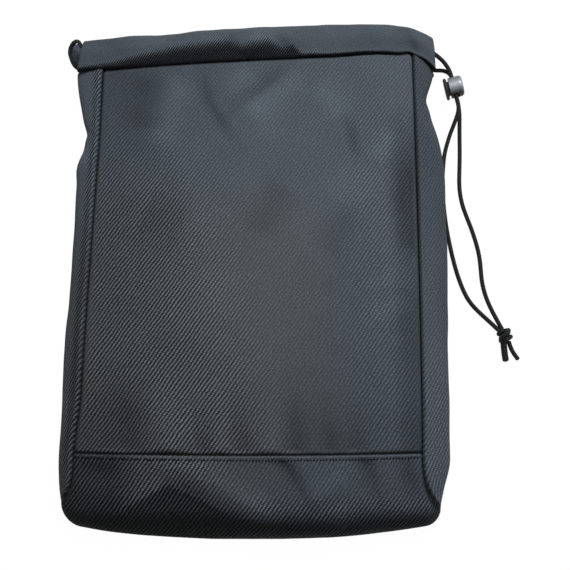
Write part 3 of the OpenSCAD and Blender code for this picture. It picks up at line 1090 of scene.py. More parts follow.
@dataclass
class FrontPanel:
    """The front panel, from the band seam to the collar."""

    across: int = 176
    along: int = 210
    tuck: float = 1.015
    seam_depth: float = 2.2
    seam_width: float = 1.3
    creases: tuple[Crease, ...] = (
        Crease([(-53, 147), (-67, 116), (-70, 93), (-56, 82)], 2.8, 13, 15),
        Crease([(-82, 150), (-88, 117), (-84, 92)], -2.6, 16, 20),
        Crease([(-44, 158), (-36, 125), (-22, 100), (-8, 82)], -1.9, 6, 3.5, 0.45),
        Crease([(-30, 126), (2, 154)], 1.8, 11, 10, 0.4),
        Crease([(-30, 100), (-16, 118), (4, 135), (32, 162)], -2.0, 3.5, 6, 0.4),
        Crease([(-12, 104), (8, 122), (38, 147)], 2.4, 12, 11),
        Crease([(42, 140), (56, 123), (66, 104)], 2.2, 12, 13),
        Crease([(64, 118), (71, 94), (75, 66)], -1.9, 3, 5, 0.5),
        Crease([(108, 98), (94, 82), (82, 74)], 2.0, 8, 9),
        Crease([(117, 84), (109, 44), (114, -8)], -3.4, 9, 8),
        Crease([(-84, 34), (-48, 20)], -2.0, 20, 20),
        Crease([(22, 58), (-2, 12)], -1.4, 14, 14),
        Crease([(74, 38), (46, -2)], -1.5, 12, 12),
        Crease([(74, -24), (114, -16)], 1.0, 7, 9),
        Crease([(78, -46), (113, -34)], 1.0, 7, 9),
        Crease([(-96, -86), (-84, -112), (-76, -160)], -2.0, 13, 11, 0.4),
        Crease([(-36, -108), (-28, -168)], -2.0, 7, 8, 0.5),
        Crease([(-12, -98), (0, -178)], -2.2, 7, 8, 0.5),
        Crease([(26, -90), (32, -182)], -2.4, 7, 7, 0.5),
        Crease([(48, -106), (56, -170)], -2.0, 6, 8, 0.5),
        Crease([(70, -110), (68, -166)], -1.8, 7, 6, 0.5),
        Crease([(-62, -100), (-44, -160)], 1.8, 13, 12, 0.5),
        Crease([(-24, -104), (-16, -165)], 1.2, 7, 7, 0.5),
        Crease([(10, -102), (16, -165)], 1.2, 9, 9, 0.5),
    )

    @staticmethod
    def rib_contrast(x: Array, y: Array) -> Array:
        """How far the ribs stand out, painted as light grazing them: most at the lower left, least at the
        upper middle.

        Args:
            x: places across the bag.
            y: places along the bag.

        Returns:
            Shares of the same shape.
        """
        left = 0.62 * smooth((11 - 0.27 * y - x) / 75) * smooth((132 - y) / 100)
        right = 0.19 * smooth((x - 55) / 25) * smooth((140 - y) / 40)
        return np.clip(0.12 + left + right, 0, 0.95)

    @staticmethod
    def painted_light(x: Array, y: Array) -> Array:
        """Painted light and shade: lightest in the middle, darkest along the right seam, darker to the left
        and low down, plus a random mottle.

        Args:
            x: places across the bag.
            y: places along the bag.

        Returns:
            Shares of the same shape.
        """
        middle = 0.2 * bell(x - 15, 75) * bell(y - 5, 100)
        left = 0.1 * smooth((-50 - x) / 50) + 0.1 * smooth((-30 - x) / 50) * smooth((y - 70) / 45)
        right = 0.28 * smooth((x - 94) / 14) * smooth((130 - y) / 40)
        low = 0.12 * smooth((-85 - y) / 40)
        return 1 + middle - left - right - low + 0.1 * ripple(x, y, 62, 21.4)

    def build(self) -> bpy.types.Object:
        """Forms the panel with its folds and rolled seam edges.

        Returns:
            The dressed piece.
        """
        grid = ClothGrid(crowd(self.across, 0.3, 0.3), crowd(self.along, 0.25, 0.6))
        a = grid.u * 2 - 1
        flat = FORM.front(a, grid.v * self.tuck)
        x, y = flat[..., 0], flat[..., 1]
        side = FORM.seam_x(a, grid.v) * (1 - np.abs(a))
        foot, head = y - FORM.band_line(a), FORM.edge_y(x) - y
        relief = folds(self.creases, x, y)
        calm = smooth(side / 6) * smooth(foot / 4) * (0.25 + 0.75 * smooth((head + 2) / 9))
        relief = relief + 0.9 * ripple(x, y, 46, 3.1) + 0.35 * ripple(x * 0.8, y, 17, 7.7)
        relief = relief * (0.15 + 0.85 * calm)
        seam = edge_roll(side, self.seam_depth, self.seam_width) + edge_roll(foot, 1.3, 1.1)
        seam = seam - 2.6 * smooth(1 - head / 4)
        points = grid.lift(flat, relief + seam)
        # Painted shade: dark lines along the seams, wider low on the left, and under the collar's edge;
        # lighter ridges and darker hollows; painted light across the panel; and rib contrast painted as
        # grazing light.
        thick = 1.3 + 0.8 * smooth((-40 - y) / 60) * (x < 0)
        dark = painted_seam_shade(side, 0.97, thick) * painted_seam_shade(foot, 0.95, 1.0) * painted_seam_shade(head, 0.75, 1.8)
        rib_contrast = self.rib_contrast(x, y) * (0.25 + 0.75 * smooth((side - 2) / 5))
        shade = painted_fold_shade(relief, 0.11) * self.painted_light(x, y) * dark
        tint = 0.05 + 0.6 * smooth((110 - y) / 120) * smooth((95 - x) / 80)
        return sew(grid, "front_panel", points, flat[..., :2] * MM, shade, rib_contrast, tint)


@dataclass
class BackPanel:
    """The back panel, which the bag lies on."""

    across: int = 90
    along: int = 110

    def build(self) -> bpy.types.Object:
        """Forms the panel flat, with a few soft rises off the floor.

        Returns:
            The dressed piece.
        """
        grid = ClothGrid(crowd(self.across), crowd(self.along))
        x = (1 - 2 * grid.u) * FORM.half_panel
        y = mix(FORM.band_y, FORM.edge_y(x), grid.v)
        calm = smooth((FORM.half_panel - np.abs(x)) / 12) * smooth((y - FORM.band_y) / 10)
        rise = np.clip(ripple(x, y, 55, 11.3), 0, 1) * 1.2 * calm
        points = stack(x, y, rise)
        return sew(grid, "back_panel", points, points[..., :2] * MM, 1.0, 0.6)


@dataclass
class BaseWrap:
    """The base wrap, from the band seam round the base to the back."""

    across: int = 176
    along: int = 150
    fine_rows: int = 500
    hem: float = 3.3
    hem_margin: int = 4
    hem_line: tuple[Array, Array] | None = None
    # Edge of the painted shadow in the base's dent, as places across and distances from the band seam.
    dent_shadow_line: Line = (
        (-128, 50), (-95, 44), (-70, 28), (-54, 18), (-33, 28), (-23, 33), (-11, 38), (4, 42), (30, 45),
        (128, 50),
    )
    creases: tuple[Crease, ...] = (
        Crease([(-66, 4), (-33, 15), (-6, 29), (23, 45)], 3.0, 10, 11),
        Crease([(10, -14), (22, 8), (38, 32)], -2.8, 5, 7, 0.5),
        Crease([(33, 30), (65, 15)], 1.5, 9, 9),
        Crease([(72, -20), (77, 10), (84, 40)], -2.6, 5, 7, 0.5),
        Crease([(101, -6), (109, 44)], -2.6, 7, 7, 0.5),
        Crease([(-118, 9), (-82, 14)], -2.0, 6, 7, 0.5),
        Crease([(-53, 17), (-72, 30), (-90, 46)], 1.4, 6, 6),
        Crease([(50, 34), (60, 52)], 1.2, 12, 12),
    )

    def form(self, a: Array, rows: Array) -> tuple[Array, Array, Array]:
        """The wrap before its folds, in rows that are evenly let out from the band seam.

        Args:
            a: the columns' shares across, from -1 to 1.
            rows: the rows' shares of the wrap's length.

        Returns:
            The points, their distance from the band seam and their q.
        """
        q = np.broadcast_to(np.linspace(0, 2, self.fine_rows), (len(a), self.fine_rows))
        spread = np.broadcast_to(a[:, None], q.shape)
        fine = np.where(q[..., None] <= 1, FORM.over(spread, q), FORM.under(spread, q))
        points, falls, shares = [], [], []
        for line, q_line in zip(fine, q):
            knots = arc_lengths(line)
            fall = rows * knots[-1]
            points.append(at_lengths(line, knots, fall))
            falls.append(fall)
            shares.append(np.interp(fall, knots, q_line))
        return np.array(points), np.array(falls), np.array(shares)

    def build(self) -> bpy.types.Object:
        """Forms the wrap with its dented base, soft folds and painted shade, and finds its hem's line.

        Returns:
            The dressed piece.
        """
        rows = crowd(self.along, 1.0, 0.22)
        grid = ClothGrid(crowd(self.across, 0.3, 0.3), rows)
        a = grid.u * 2 - 1
        flat, fall, q = self.form(a[:, 0], 1 - rows)
        x = flat[..., 0]
        side = FORM.wrap_half(a, np.clip(np.minimum(q, 2 - q), 0, 1)) * (1 - np.abs(a))
        relief = folds(self.creases, x, fall)
        relief = relief + 0.8 * ripple(x, fall, 30, 5.3) + 0.3 * ripple(x, fall, 13, 2.9)
        relief = relief * smooth(side / 8) * smooth(fall / 8) * smooth((1.05 - q) / 0.2)
        seam = edge_roll(side, 2.0, 1.3) * smooth((0.8 - q) / 0.3)
        ridge = bell(fall - 1.6, 0.9)
        seam = seam + 0.6 * ridge + edge_roll(fall, 1.3, 0.6)
        points = grid.lift(flat, relief + seam)
        weave = np.stack([x, FORM.band_y - fall], axis=-1) * MM
        # Painted light and shade: the hem's ridge and strip painted lighter, dark seam lines, the dent
        # below its shadow line painted dark, the turned-under base painted darker and the left end darker;
        # the rib contrast is raised there as painted light.
        strip = smooth(fall / 1.2) * smooth((5.0 - fall) / 1.5)
        dark = painted_seam_shade(side, 0.97, 1.9) * painted_seam_shade(fall, 0.95, 0.7) * (1 + 0.4 * ridge + 0.1 * strip)
        dent_shadow = smooth((fall - read_off(self.dent_shadow_line, x) + 1.5) / 4.5)
        underside_shade = 0.78 * smooth((fall - 34) / 12) * (1 - 0.6 * smooth((q - 0.96) / 0.15))
        low = (0.92 - 0.36 * dent_shadow) * (1 - underside_shade) * (1 - 0.5 * smooth((-62 - x) / 30))
        rib_contrast = 0.25 + 0.6 * smooth(-x / 45) + 0.6 * smooth((fall - 22) / 16)
        rib_contrast = (rib_contrast + 0.9 * dent_shadow * smooth((40 - x) / 60)) * (1 - 0.8 * ridge)
        shade = painted_fold_shade(relief) * dark * low
        tint = 0.12 + 0.5 * smooth((50 - x) / 90)
        row = int(np.argmin(np.abs(fall[self.across // 2] - self.hem)))
        part = slice(self.hem_margin, -self.hem_margin)
        self.hem_line = points[part, row], grid.normals(points)[part, row]
        return sew(grid, "base_wrap", points, weave, shade, np.clip(rib_contrast, 0, 1.9), tint)


@dataclass
class Gusset:
    """A side wall between the panels."""

    side: Side
    creases: tuple[Crease, ...]
    ridge: float
    # Rib contrast of the gusset and of its foot, raised as painted light.
    rib_contrast: float
    # Strength of a darker, strongly ribbed strip painted beside the front seam as shade.
    strip: float = 0.0
    foot_rib_contrast: float = 0.0
    foot_tint: float = 0.0
    # Painted light at the gusset's top and at its foot.
    painted_light: tuple[float, float] = (1.0, 1.0)
    across: int = 50
    along: int = 200
    wrap_rows: int = 50

    def build(self) -> bpy.types.Object:
        """Forms the side wall with its seam ridges and neck folds.

        Returns:
            The dressed piece.
        """
        s = crowd(self.across, 0.35, 0.35)
        body = ClothGrid(s, 1.02 - 1.02 * crowd(self.along))
        foot = ClothGrid(s, sine(90 * crowd(self.wrap_rows)))
        upper = FORM.gusset_body(self.side, body.u, body.v)
        lower = FORM.gusset_wrap(self.side, foot.u, foot.v)
        flat = np.concatenate([upper, lower[:, 1:]], axis=1)
        grid = ClothGrid(s, crowd(self.along + self.wrap_rows))
        girth = let_out(flat)
        whole = girth[-1:]
        y = flat[..., 1]
        relief = folds(self.creases, girth, y) + 0.7 * ripple(girth, y, 32, 4.7 + self.side)
        relief = relief + 0.3 * ripple(girth, y * 0.6, 13, 8.1)
        relief = relief * smooth(girth / 6) * smooth((whole - girth) / 6) * smooth(whole / 30)
        edges = np.minimum(girth, whole - girth)
        seam = edge_roll(edges, 2.0, 1.1) + self.ridge * bell(edges - 3.4, 1.8)
        out = relief + seam * smooth((whole - 8) / 14)
        points = grid.lift(flat, out * -self.side)
        weave = np.stack([self.side * (FORM.half_panel + girth), y], axis=-1) * MM
        # Painted shade: a darker, strongly ribbed strip beside the front seam, dark seam lines, lighter
        # ridges and darker hollows, and painted light that changes from the top to the foot.
        deep = smooth((120 - y) / 200)
        beside = bell(girth - 4.4 - 1.6 * deep, 3.2 + 1.4 * deep)
        strip = self.strip * beside * smooth((y + 165) / 40)
        shade = painted_fold_shade(relief) * painted_seam_shade(edges, 0.97, 1.3) * (1 - (0.3 + 0.4 * deep) * strip)
        shade = shade * mix(*self.painted_light, smooth((110 - y) / 220))
        rib_contrast = np.clip(self.rib_contrast + strip + self.foot_rib_contrast * smooth((-50 - y) / 50), 0, 1)
        tint = 0.1 + self.foot_tint * smooth((40 - y) / 140)
        if self.side is Side.RIGHT:
            looks = points, weave, shade, rib_contrast, tint
            points, weave, shade, rib_contrast, tint = (part[:, ::-1] for part in looks)
        return sew(grid, f"{self.side.word}_gusset", points, weave, shade, rib_contrast, tint)


@dataclass
class Casing:
    """One half of the collar, a flat tube that the cord runs in."""

    front: bool
    creases: tuple[Crease, ...] = ()
    around: int = 80
    along: int = 240
    cut_girth: float = 62.0
    left_slant: tuple[float, float] = (132.4, 137.2)
    left_round: float = 0.0
    right_slant: tuple[float, float] = (136.6, 139.2)
    roll_line: Line = (
        (-140, 0.93), (-110, 0.83), (-91, 0.71), (-78, 0.64), (-66, 0.57), (-53, 0.52), (-34, 0.49),
        (-21, 0.42), (-10, 0.64), (-2, 0.55), (10, 0.49), (21, 0.7), (29, 0.66), (36, 0.9), (46, 0.92),
        (57, 0.96), (74, 0.95), (83, 0.95), (96, 0.98), (140, 0.99),
    )

    def roll(self, x: Array) -> Array:
        """Where the upper face starts to roll under, as a share of the collar's width."""
        return read_off(self.roll_line, x) if self.front else np.full(x.shape, 0.75)

    def tube(self, x: Array, turn: Array, lower: Array) -> Array:
        """The tube before its creases: a flat upper face that rolls under at its lower edge.

        Args:
            x: places across the bag.
            turn: angles round the tube, the upper face up to 180.
            lower: shares of the way from the upper to the lower edge.

        Returns:
            The points.
        """
        out = np.zeros(x.shape) if self.front else smooth((-131 - x) / 9)
        top, low = FORM.collar_top(x) + 7 * out, FORM.edge_y(x) + 8 * out
        half = FORM.casing_d / 2 * (1 - 0.72 * out)
        z = FORM.front_casing_z(x) if self.front else half
        roll = self.roll(x)
        rise = np.sqrt(np.clip(1 - (1 - lower / 0.2).clip(0, 1) ** 2, 0, 1))
        under = 1.2 * np.clip((lower - roll) / (1.03 - roll), 0, 1) ** 1.3
        under = np.maximum(under, 0.75 * smooth((lower - 0.4) / 0.6))
        face = np.where(turn <= 180, rise - under, -np.sqrt(np.abs(sine(turn))) - 0.17 * lower)
        return stack(x, mix(top, low, lower), z + half * face)

    def build(self) -> bpy.types.Object:
        """Forms the tube, creased where the cord gathers it.

        Returns:
            The dressed piece.
        """
        grid = ClothGrid(crowd(self.around), crowd(self.along), tube=True)
        turn = grid.u * 360
        lower = 0.5 - 0.5 * cosine(turn)
        left = mix(*self.left_slant, lower) + self.left_round * np.sqrt(lower * (1 - lower))
        x = mix(-left, mix(*self.right_slant, lower**0.5), grid.v)
        flat = self.tube(x, turn, lower)
        relief = folds(self.creases, x, grid.u * self.cut_girth)
        if self.front:
            level = 14 * cosine(turn)
            puff = ripple(x, level, 24, 6.1) + 0.5 * ripple(x, level + 40, 10, 9.4)
            relief = relief + 0.8 * puff * smooth(0.5 + sine(turn))
        points = grid.lift(flat, relief)
        if not self.front:
            points[..., 2] = np.maximum(points[..., 2], 0.0)
        weave = np.stack([x, FORM.collar_top(x) - let_out(flat)], axis=-1) * 1.5 * MM
        # Painted shadow: the collar's rolled-under lower part and its underside are darkened in colour,
        # with a black painted shadow line at its lower edge and stronger ribs there; its left part is
        # painted lighter than its right.
        soft = 0.03 + 0.26 * (1 - self.roll(x))
        rolled = smooth((lower - self.roll(x) + soft) / (2.6 * soft))
        shadow = np.where(turn <= 180, rolled, smooth((360 - turn) / 80))
        shade = painted_fold_shade(relief) * (1 - 0.84 * shadow) * (1 - 0.8 * smooth((lower - 0.93) / 0.05))
        shade = shade * (1.15 - 0.13 * smooth((x - 30) / 40))
        rib_contrast = 0.14 + 1.6 * shadow * (1 - shadow) + 1.3 * shadow
        return sew(grid, f"{half_word(self.front)}_casing", points, weave, shade, rib_contrast)


@dataclass
class Binding:
    """A bound seam allowance inside the bag."""

    side: Side
    front: bool
    width: float = 8.0
    thickness: float = 2.0
    ends: tuple[float, float] = (0.03, 0.97)
    around: int = 12
    along: int = 90
    cut_girth: float = 18.0

    def build(self) -> bpy.types.Object:
        """Forms a soft tape that stands in from the seam.

        Returns:
            The dressed piece.
        """
        grid = ClothGrid(crowd(self.around), crowd(self.along), tube=True)
        v = mix(*self.ends, grid.v)
        lean = -105.0 if self.front else 95.0
        a = np.full(v.shape, float(self.side))
        if self.front:
            foot = FORM.front(a, v) - np.array([self.side * FORM.fabric_t, 0, FORM.fabric_t])
        else:
            foot = FORM.gusset_body(self.side, np.ones(v.shape), v) + np.array([0, 0, FORM.fabric_t])
        across = np.array([self.side * cosine(lean), 0, sine(lean)])
        thick = np.array([-sine(lean), 0, self.side * cosine(lean)])
        turn = grid.u * 360
        middle = self.thickness / 2 + self.width / 2 + FORM.seam_gap
        reach = middle - self.width / 2 * cosine(turn)
        waver = 0.4 * ripple(foot[..., 1], reach, 14, 2.0)
        off = self.thickness / 2 * sine(turn) * 0.9 + waver * (0.5 - 0.5 * cosine(turn))
        points = foot + reach[..., None] * across + off[..., None] * thick * -self.side
        weave = np.stack([grid.u * self.cut_girth, points[..., 1]], axis=-1) * MM
        node = f"{half_word(self.front)}_{self.side.word}_binding"
        return dress(grid.mesh(f"{node}_tape", points, weave), TapeFinish(), Body.BAG, Slot.TAPE, node)


# The drawcord


def spline(points: Line, step: float, ease: int = 0) -> Array:
    """A smooth line through points.

    Args:
        points: the points that it passes, in millimetres.
        step: distance between the line's own points.
        ease: how many times the line is relaxed between its ends.

    Returns:
        Evenly spaced points.
    """
    p = np.array(points, float)
    knots = arc_lengths(p)
    n = len(p)
    gaps = np.diff(knots)
    system, right = np.eye(n), np.zeros((n, 3))
    for i in range(1, n - 1):
        system[i, i - 1 : i + 2] = gaps[i - 1], 2 * (gaps[i - 1] + gaps[i]), gaps[i]
        right[i] = 6 * ((p[i + 1] - p[i]) / gaps[i] - (p[i] - p[i - 1]) / gaps[i - 1])
    bend = np.linalg.solve(system, right)
    t = np.linspace(0, knots[-1], 40 * n)
    i = np.clip(np.searchsorted(knots, t) - 1, 0, n - 2)
    h, b, c = gaps[i][:, None], (t - knots[i])[:, None], (knots[i + 1] - t)[:, None]
    line = (bend[i] * c**3 + bend[i + 1] * b**3) / (6 * h)
    line = line + (p[i] / h - bend[i] * h / 6) * c + (p[i + 1] / h - bend[i + 1] * h / 6) * b
    line = resample(line, step)
    for _ in range(ease):
        line[1:-1] = (line[:-2] + 2 * line[1:-1] + line[2:]) / 4
    return resample(line, step)


def resample(line: Array, step: float) -> Array:
    """The same line with evenly spaced points.

    Args:
        line: the line's points.
        step: distance between the new points.

    Returns:
        The new points, from end to end.
    """
    knots = arc_lengths(line)
    return at_lengths(line, knots, np.linspace(0, knots[-1], max(3, round(knots[-1] / step) + 1)))


@dataclass
class CordTube:
    """A stretch of round braided cord along a line."""

    name: str
    line: Array
    diameter: float = 3.2
    sides: int = 14
    cut_end: bool = False

    def build(self) -> bpy.types.Object:
        """Sweeps the cord's round along its line.

        Returns:
            The bare piece.
        """
        line = self.line
        along = np.gradient(line, axis=0)
        along /= np.linalg.norm(along, axis=1, keepdims=True)
        side = np.cross(along[0], (0.0, 0.0, 1.0))
        if np.linalg.norm(side) < 1e-3:
            side = np.cross(along[0], (0.0, 1.0, 0.0))
        sides = []
        for direction in along:
            side = side - direction * side.dot(direction)
            side = side / np.linalg.norm(side)
            sides.append(side)
        sides = np.array(sides)
        others = np.cross(along, sides)
        radius = np.full(len(line), self.diameter / 2)
        knots = arc_lengths(line)
        if self.cut_end:
            left = np.clip((knots[-1] - knots) / (self.diameter * 0.35), 0, 1)
            radius = radius * np.sqrt(1 - (1 - left) ** 2)
        grid = ClothGrid(crowd(self.sides), crowd(len(line) - 1), tube=True)
        turn = (grid.u * 360)[..., None]
        ring = cosine(turn) * sides[None] + sine(turn) * others[None]
        points = line[None] + ring * radius[None, :, None]
        weave = np.stack([grid.u, np.broadcast_to(knots[None] * MM, grid.u.shape)], axis=-1)
        return grid.mesh(self.name, points, weave)


@dataclass
class Drawcord:
    """The cord: its runs in the casings, the loop at the left, and two tails to the knot."""

    diameter: float = 3.2
    rest: float = 0.1
    left_x: float = -127.0
    right_x: float = 136.0
    run_points: int = 11
    straight: tuple[float, ...] = (-11.5, -7.0, -2.0, 3.0, 8.0, 12.0, 15.5)
    knot_pos: Point = (181.2, -51.6, 5.1)
    knot_turn: float = -67.0
    melt: float = 1.4
    loop_points: Line = (
        (7.2, -18, 13), (3.9, -13.7, 13.9), (2.1, -10.5, 12.6), (-0.9, -8.9, 10.4), (-4, -9.6, 7.7),
        (-6.1, -12.4, 5.6), (-6.4, -16.4, 4.6), (-4.9, -20.7, 4.5), (-3.1, -25.1, 3.8), (0.3, -28.1, 2.7),
        (5.4, -28.7, 2.2),
    )
    front_exit: Line = ((1, -22, 11.5), (4.6, -25.2, 11.2), (7.6, -29, 10.8), (10, -33, 10.2))
    front_tail: Line = (
        (15.9, -67.5, 8.8), (14.5, -72.5, 6.6), (12.6, -77.5, 4), (10.6, -82.5, 1.7), (8.9, -87.5, 0.4),
        (7.5, -92, 0), (6.3, -96, 0), (4, -109, 0), (2.7, -124, 0), (2.7, -140, 0), (3.7, -156, 0),
        (6, -174, 0), (9.2, -191, 0), (13, -204.5, 0), (18, -215.5, 0), (25.5, -224.5, 0.1),
        (33, -232.5, 1.3), (37.4, -237.8, 3.1),
    )
    back_exit: Line = ((0.6, -29.2, 1.7), (4.2, -29.8, 2.8), (7.6, -31, 4.4), (10.2, -33.3, 5.8))
    back_tail: Line = (
        (17.4, -67.5, 5.4), (17.7, -72.5, 3.4), (17.8, -77.5, 1.5), (17.8, -82.5, 0.3), (17.6, -88, 0),
        (17.3, -95, 0), (16.2, -112, 0), (15.4, -127, 0), (17.2, -142, 0), (21.4, -156, 0),
        (25.2, -170, 0), (27.4, -184, 0), (28, -200, 0), (30.8, -214, 0), (34.8, -225, 0.9),
        (39.4, -236.4, 3.1),
    )
    front_end: Line = ((40, -246.5, 2.3), (40.6, -251, 0.5), (41, -255.5, 0), (41.5, -260, 0))
    back_end: Line = ((44, -245.6, 2.3), (45.6, -249.6, 0.5), (47.8, -254, 0), (50.8, -258.5, 0))

    def corner(self, side: Side) -> Array:
        """The bag's top corner, at the height of a cord that lies on the floor."""
        return np.array([side * FORM.half_bag, FORM.top_y, self.diameter / 2 + self.rest])

    def run_point(self, x: float, front: bool) -> Array:
        """A place on the cord inside a casing.

        Args:
            x: the place across the bag.
            front: which casing.

        Returns:
            The place on the cord's middle line.
        """
        drop = FORM.casing_d / 2 - FORM.fabric_t - self.diameter / 2 - 0.5
        shift = 5.0 if front else -4.0
        z = float(FORM.front_casing_z(x)) if front else FORM.casing_d / 2
        return np.array([x, float(FORM.casing_y(x)) + shift, z - drop])

    def run(self, front: bool) -> Array:
        """The line of the cord inside a casing."""
        spots = np.linspace(self.left_x, self.right_x, self.run_points)
        return np.array([self.run_point(x, front) for x in spots])

    def through_lock(self, lift: int) -> Array:
        """The straight stretch of one strand through the lock.

        Args:
            lift: 1 for the upper strand and -1 for the lower.

        Returns:
            Its points.
        """
        turn, roll = LOCK.turn, LOCK.roll
        ahead = np.array([sine(turn), -cosine(turn), 0.0])
        up = np.array([-sine(roll) * cosine(turn), -sine(roll) * sine(turn), cosine(roll)])
        middle = np.array(LOCK.middle) + lift * (self.diameter / 2 + self.rest) * up
        return np.array([middle + t * ahead for t in self.straight])

    def tail(self, front: bool) -> Array:
        """The line of one tail, from its casing's mouth to the knot.

        Args:
            front: which tail.

        Returns:
            The points that it passes.
        """
        corner = self.corner(Side.RIGHT)
        lead, rest = (self.front_exit, self.front_tail) if front else (self.back_exit, self.back_tail)
        return np.concatenate(
            [
                [self.run_point(self.right_x, front)],
                corner + np.array(lead),
                self.through_lock(1 if front else -1),
                corner + np.array(rest),
            ]
        )

    def knot_line(self, points: Line) -> Array:
        """Points in the knot's own directions, its X along the cord, as places on the bag."""
        turn = Matrix.Rotation(math.radians(self.knot_turn), 3, "Z")
        return np.array([tuple(turn @ Vector(p) + Vector(self.knot_pos)) for p in points])

    def knot_wrap(self, start: float, turns: float, pitch: float, first: float, radius: float) -> Array:
        """One wrap of the knot, tucked in at both ends.

        Args:
            start: where it starts along the cord.
            turns: how often it goes round.
            pitch: how far it goes along in one turn.
            first: the angle that it starts at.
            radius: of its middle line.

        Returns:
            Its points.
        """
        t = np.linspace(0, 1, 60)
        tuck = smooth(np.minimum(t, 1 - t) / 0.16)
        r = mix(1.0, radius, tuck)
        angle = first + 360 * turns * t
        along = start + pitch * turns * t
        return self.knot_line(np.stack([along, r * cosine(angle), r * sine(angle)], axis=-1))

    def tube(
        self, name: str, line: Array, *nodes: str, cut_end: bool = False, swell: float = 0.0
    ) -> bpy.types.Object:
        """Builds and dresses one stretch.

        Args:
            name: the piece's name.
            line: its middle line.
            nodes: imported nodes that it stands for.
            cut_end: whether it ends in a melted round.
            swell: how much thicker it is than the cord.

        Returns:
            The dressed piece.
        """
        piece = CordTube(name, line, self.diameter + swell, cut_end=cut_end).build()
        return dress(piece, BraidFinish(), Body.BAG, Slot.CORD, *nodes)

    def build(self, lock: list[bpy.types.Object]) -> None:
        """Args:
            lock: the lock's pieces, which are on the front tail.
        """
        halves = {True: half_word(True), False: half_word(False)}
        for front, word in halves.items():
            self.tube(f"cord_{word}_run_braid", spline(self.run(front), 3.0), f"cord_{word}_run")
        start, end = ([self.run_point(self.left_x, front)] for front in halves)
        loop = np.concatenate([start, self.corner(Side.LEFT) + np.array(self.loop_points), end])
        loop = spline(loop, 0.9, 6)
        self.declare(self.tube("cord_left_loop_braid", loop, "cord_left_loop"), [])
        wrap = self.knot_wrap(start=-4.5, turns=2.65, pitch=3.5, first=60, radius=3.4)
        cross = self.knot_wrap(start=-3.8, turns=0.75, pitch=9.6, first=-20, radius=4.1)
        on_cord = [self.tube("cord_knot_wrap", wrap, "cord_knot"), self.tube("cord_knot_cross", cross)]
        right = self.corner(Side.RIGHT)
        for word, points, swell in (("front", self.front_end, self.melt), ("back", self.back_end, 0.0)):
            line = spline(right + np.array(points) + np.array([0, 0, swell / 2]), 0.5)
            piece = self.tube(f"cord_{word}_end_braid", line, f"cord_{word}_end", cut_end=True, swell=swell)
            on_cord.append(piece)
        for front, word in halves.items():
            line = spline(self.tail(front), 1.2, 4)
            piece = self.tube(f"cord_{word}_tail_braid", line, f"cord_{word}_tail")
            self.declare(piece, on_cord + lock if front else [])

    def declare(self, piece: bpy.types.Object, others: list) -> None:
        """Takes no step for a stretch: it only works out the cord's diameter in metres and drops it.

        Args:
            piece: the stretch; not used.
            others: the pieces that are on it; not used.
        """
        self.diameter * MM


@dataclass
class CordLock:
    """The sprung barrel lock: its two mouldings are shown as they are, and a spring is wound for it."""

    finishes: dict = field(
        default_factory=lambda: {
            # The shell's last colour is painted shade above and below its painted highlight band.
            "lock_barrel": PlasticFinish("lock_shell", rgba(132, 137, 143), 0.24, 0.3, rgba(38, 41, 45)),
            "lock_button": PlasticFinish("lock_plunger", rgba(13, 14, 15), 0.36),
        }
    )
    strand_at: float = 3.35
    plunger_l: float = 6.1
    spring_d: float = 7.0
    spring_turns: int = 2
    spring_gap: float = 0.2
    spring_points: int = 65
    wire_d: float = 0.5
    travel: float = 1.2

    def point(self, place: Sequence[float]) -> Vector:
        """A place in the lock as a place on the bag.

        Args:
            place: in the lock's own directions, its X along the button's travel.

        Returns:
            The place in millimetres.
        """
        turn = Matrix.Rotation(math.radians(LOCK.turn), 3, "Z")
        turn = turn @ Matrix.Rotation(math.radians(-LOCK.roll), 3, "Y")
        return turn @ (Vector(place) - Vector((self.strand_at, 0, 0))) + Vector(LOCK.middle)

    def spring(self) -> bpy.types.Object:
        """Winds the spring, which the button presses towards the barrel's closed end.

        Returns:
            The dressed piece.
        """
        coil_l = self.spring_turns * self.wire_d + self.travel
        radius = (self.spring_d - self.wire_d) / 2
        start = self.plunger_l + (self.spring_gap + self.wire_d) / 2
        shares = np.linspace(0, 1, self.spring_points)
        angles = np.linspace(0, 360 * self.spring_turns, self.spring_points)
        line = [
            self.point((start + coil_l * t, radius * cosine(a), radius * sine(a)))
            for t, a in zip(shares, angles)
        ]
        coil = CordTube("lock_spring_coil", np.array(line), self.wire_d, sides=8).build()
        dress(coil, WireFinish(), Body.LOCK, Slot.WIRE, "lock_spring")
        end = start + coil_l + (self.spring_gap + self.wire_d) / 2
        room = end - self.plunger_l - self.spring_gap / 2
        1 - self.travel / room
        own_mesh(coil)
        return coil

    def build(self) -> list[bpy.types.Object]:
        """Gives each node its finish and adds the spring.

        Returns:
            The lock's pieces.
        """
        pieces = [self.spring()]
        for name, finish in self.finishes.items():
            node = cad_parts[name]
            for slot in node.material_slots:
                slot.material = finish.material()
            for face in node.data.polygons:
                face.use_smooth = True
            pieces.append(node)
            LOG.info("%s keeps its solid", name)
        return pieces


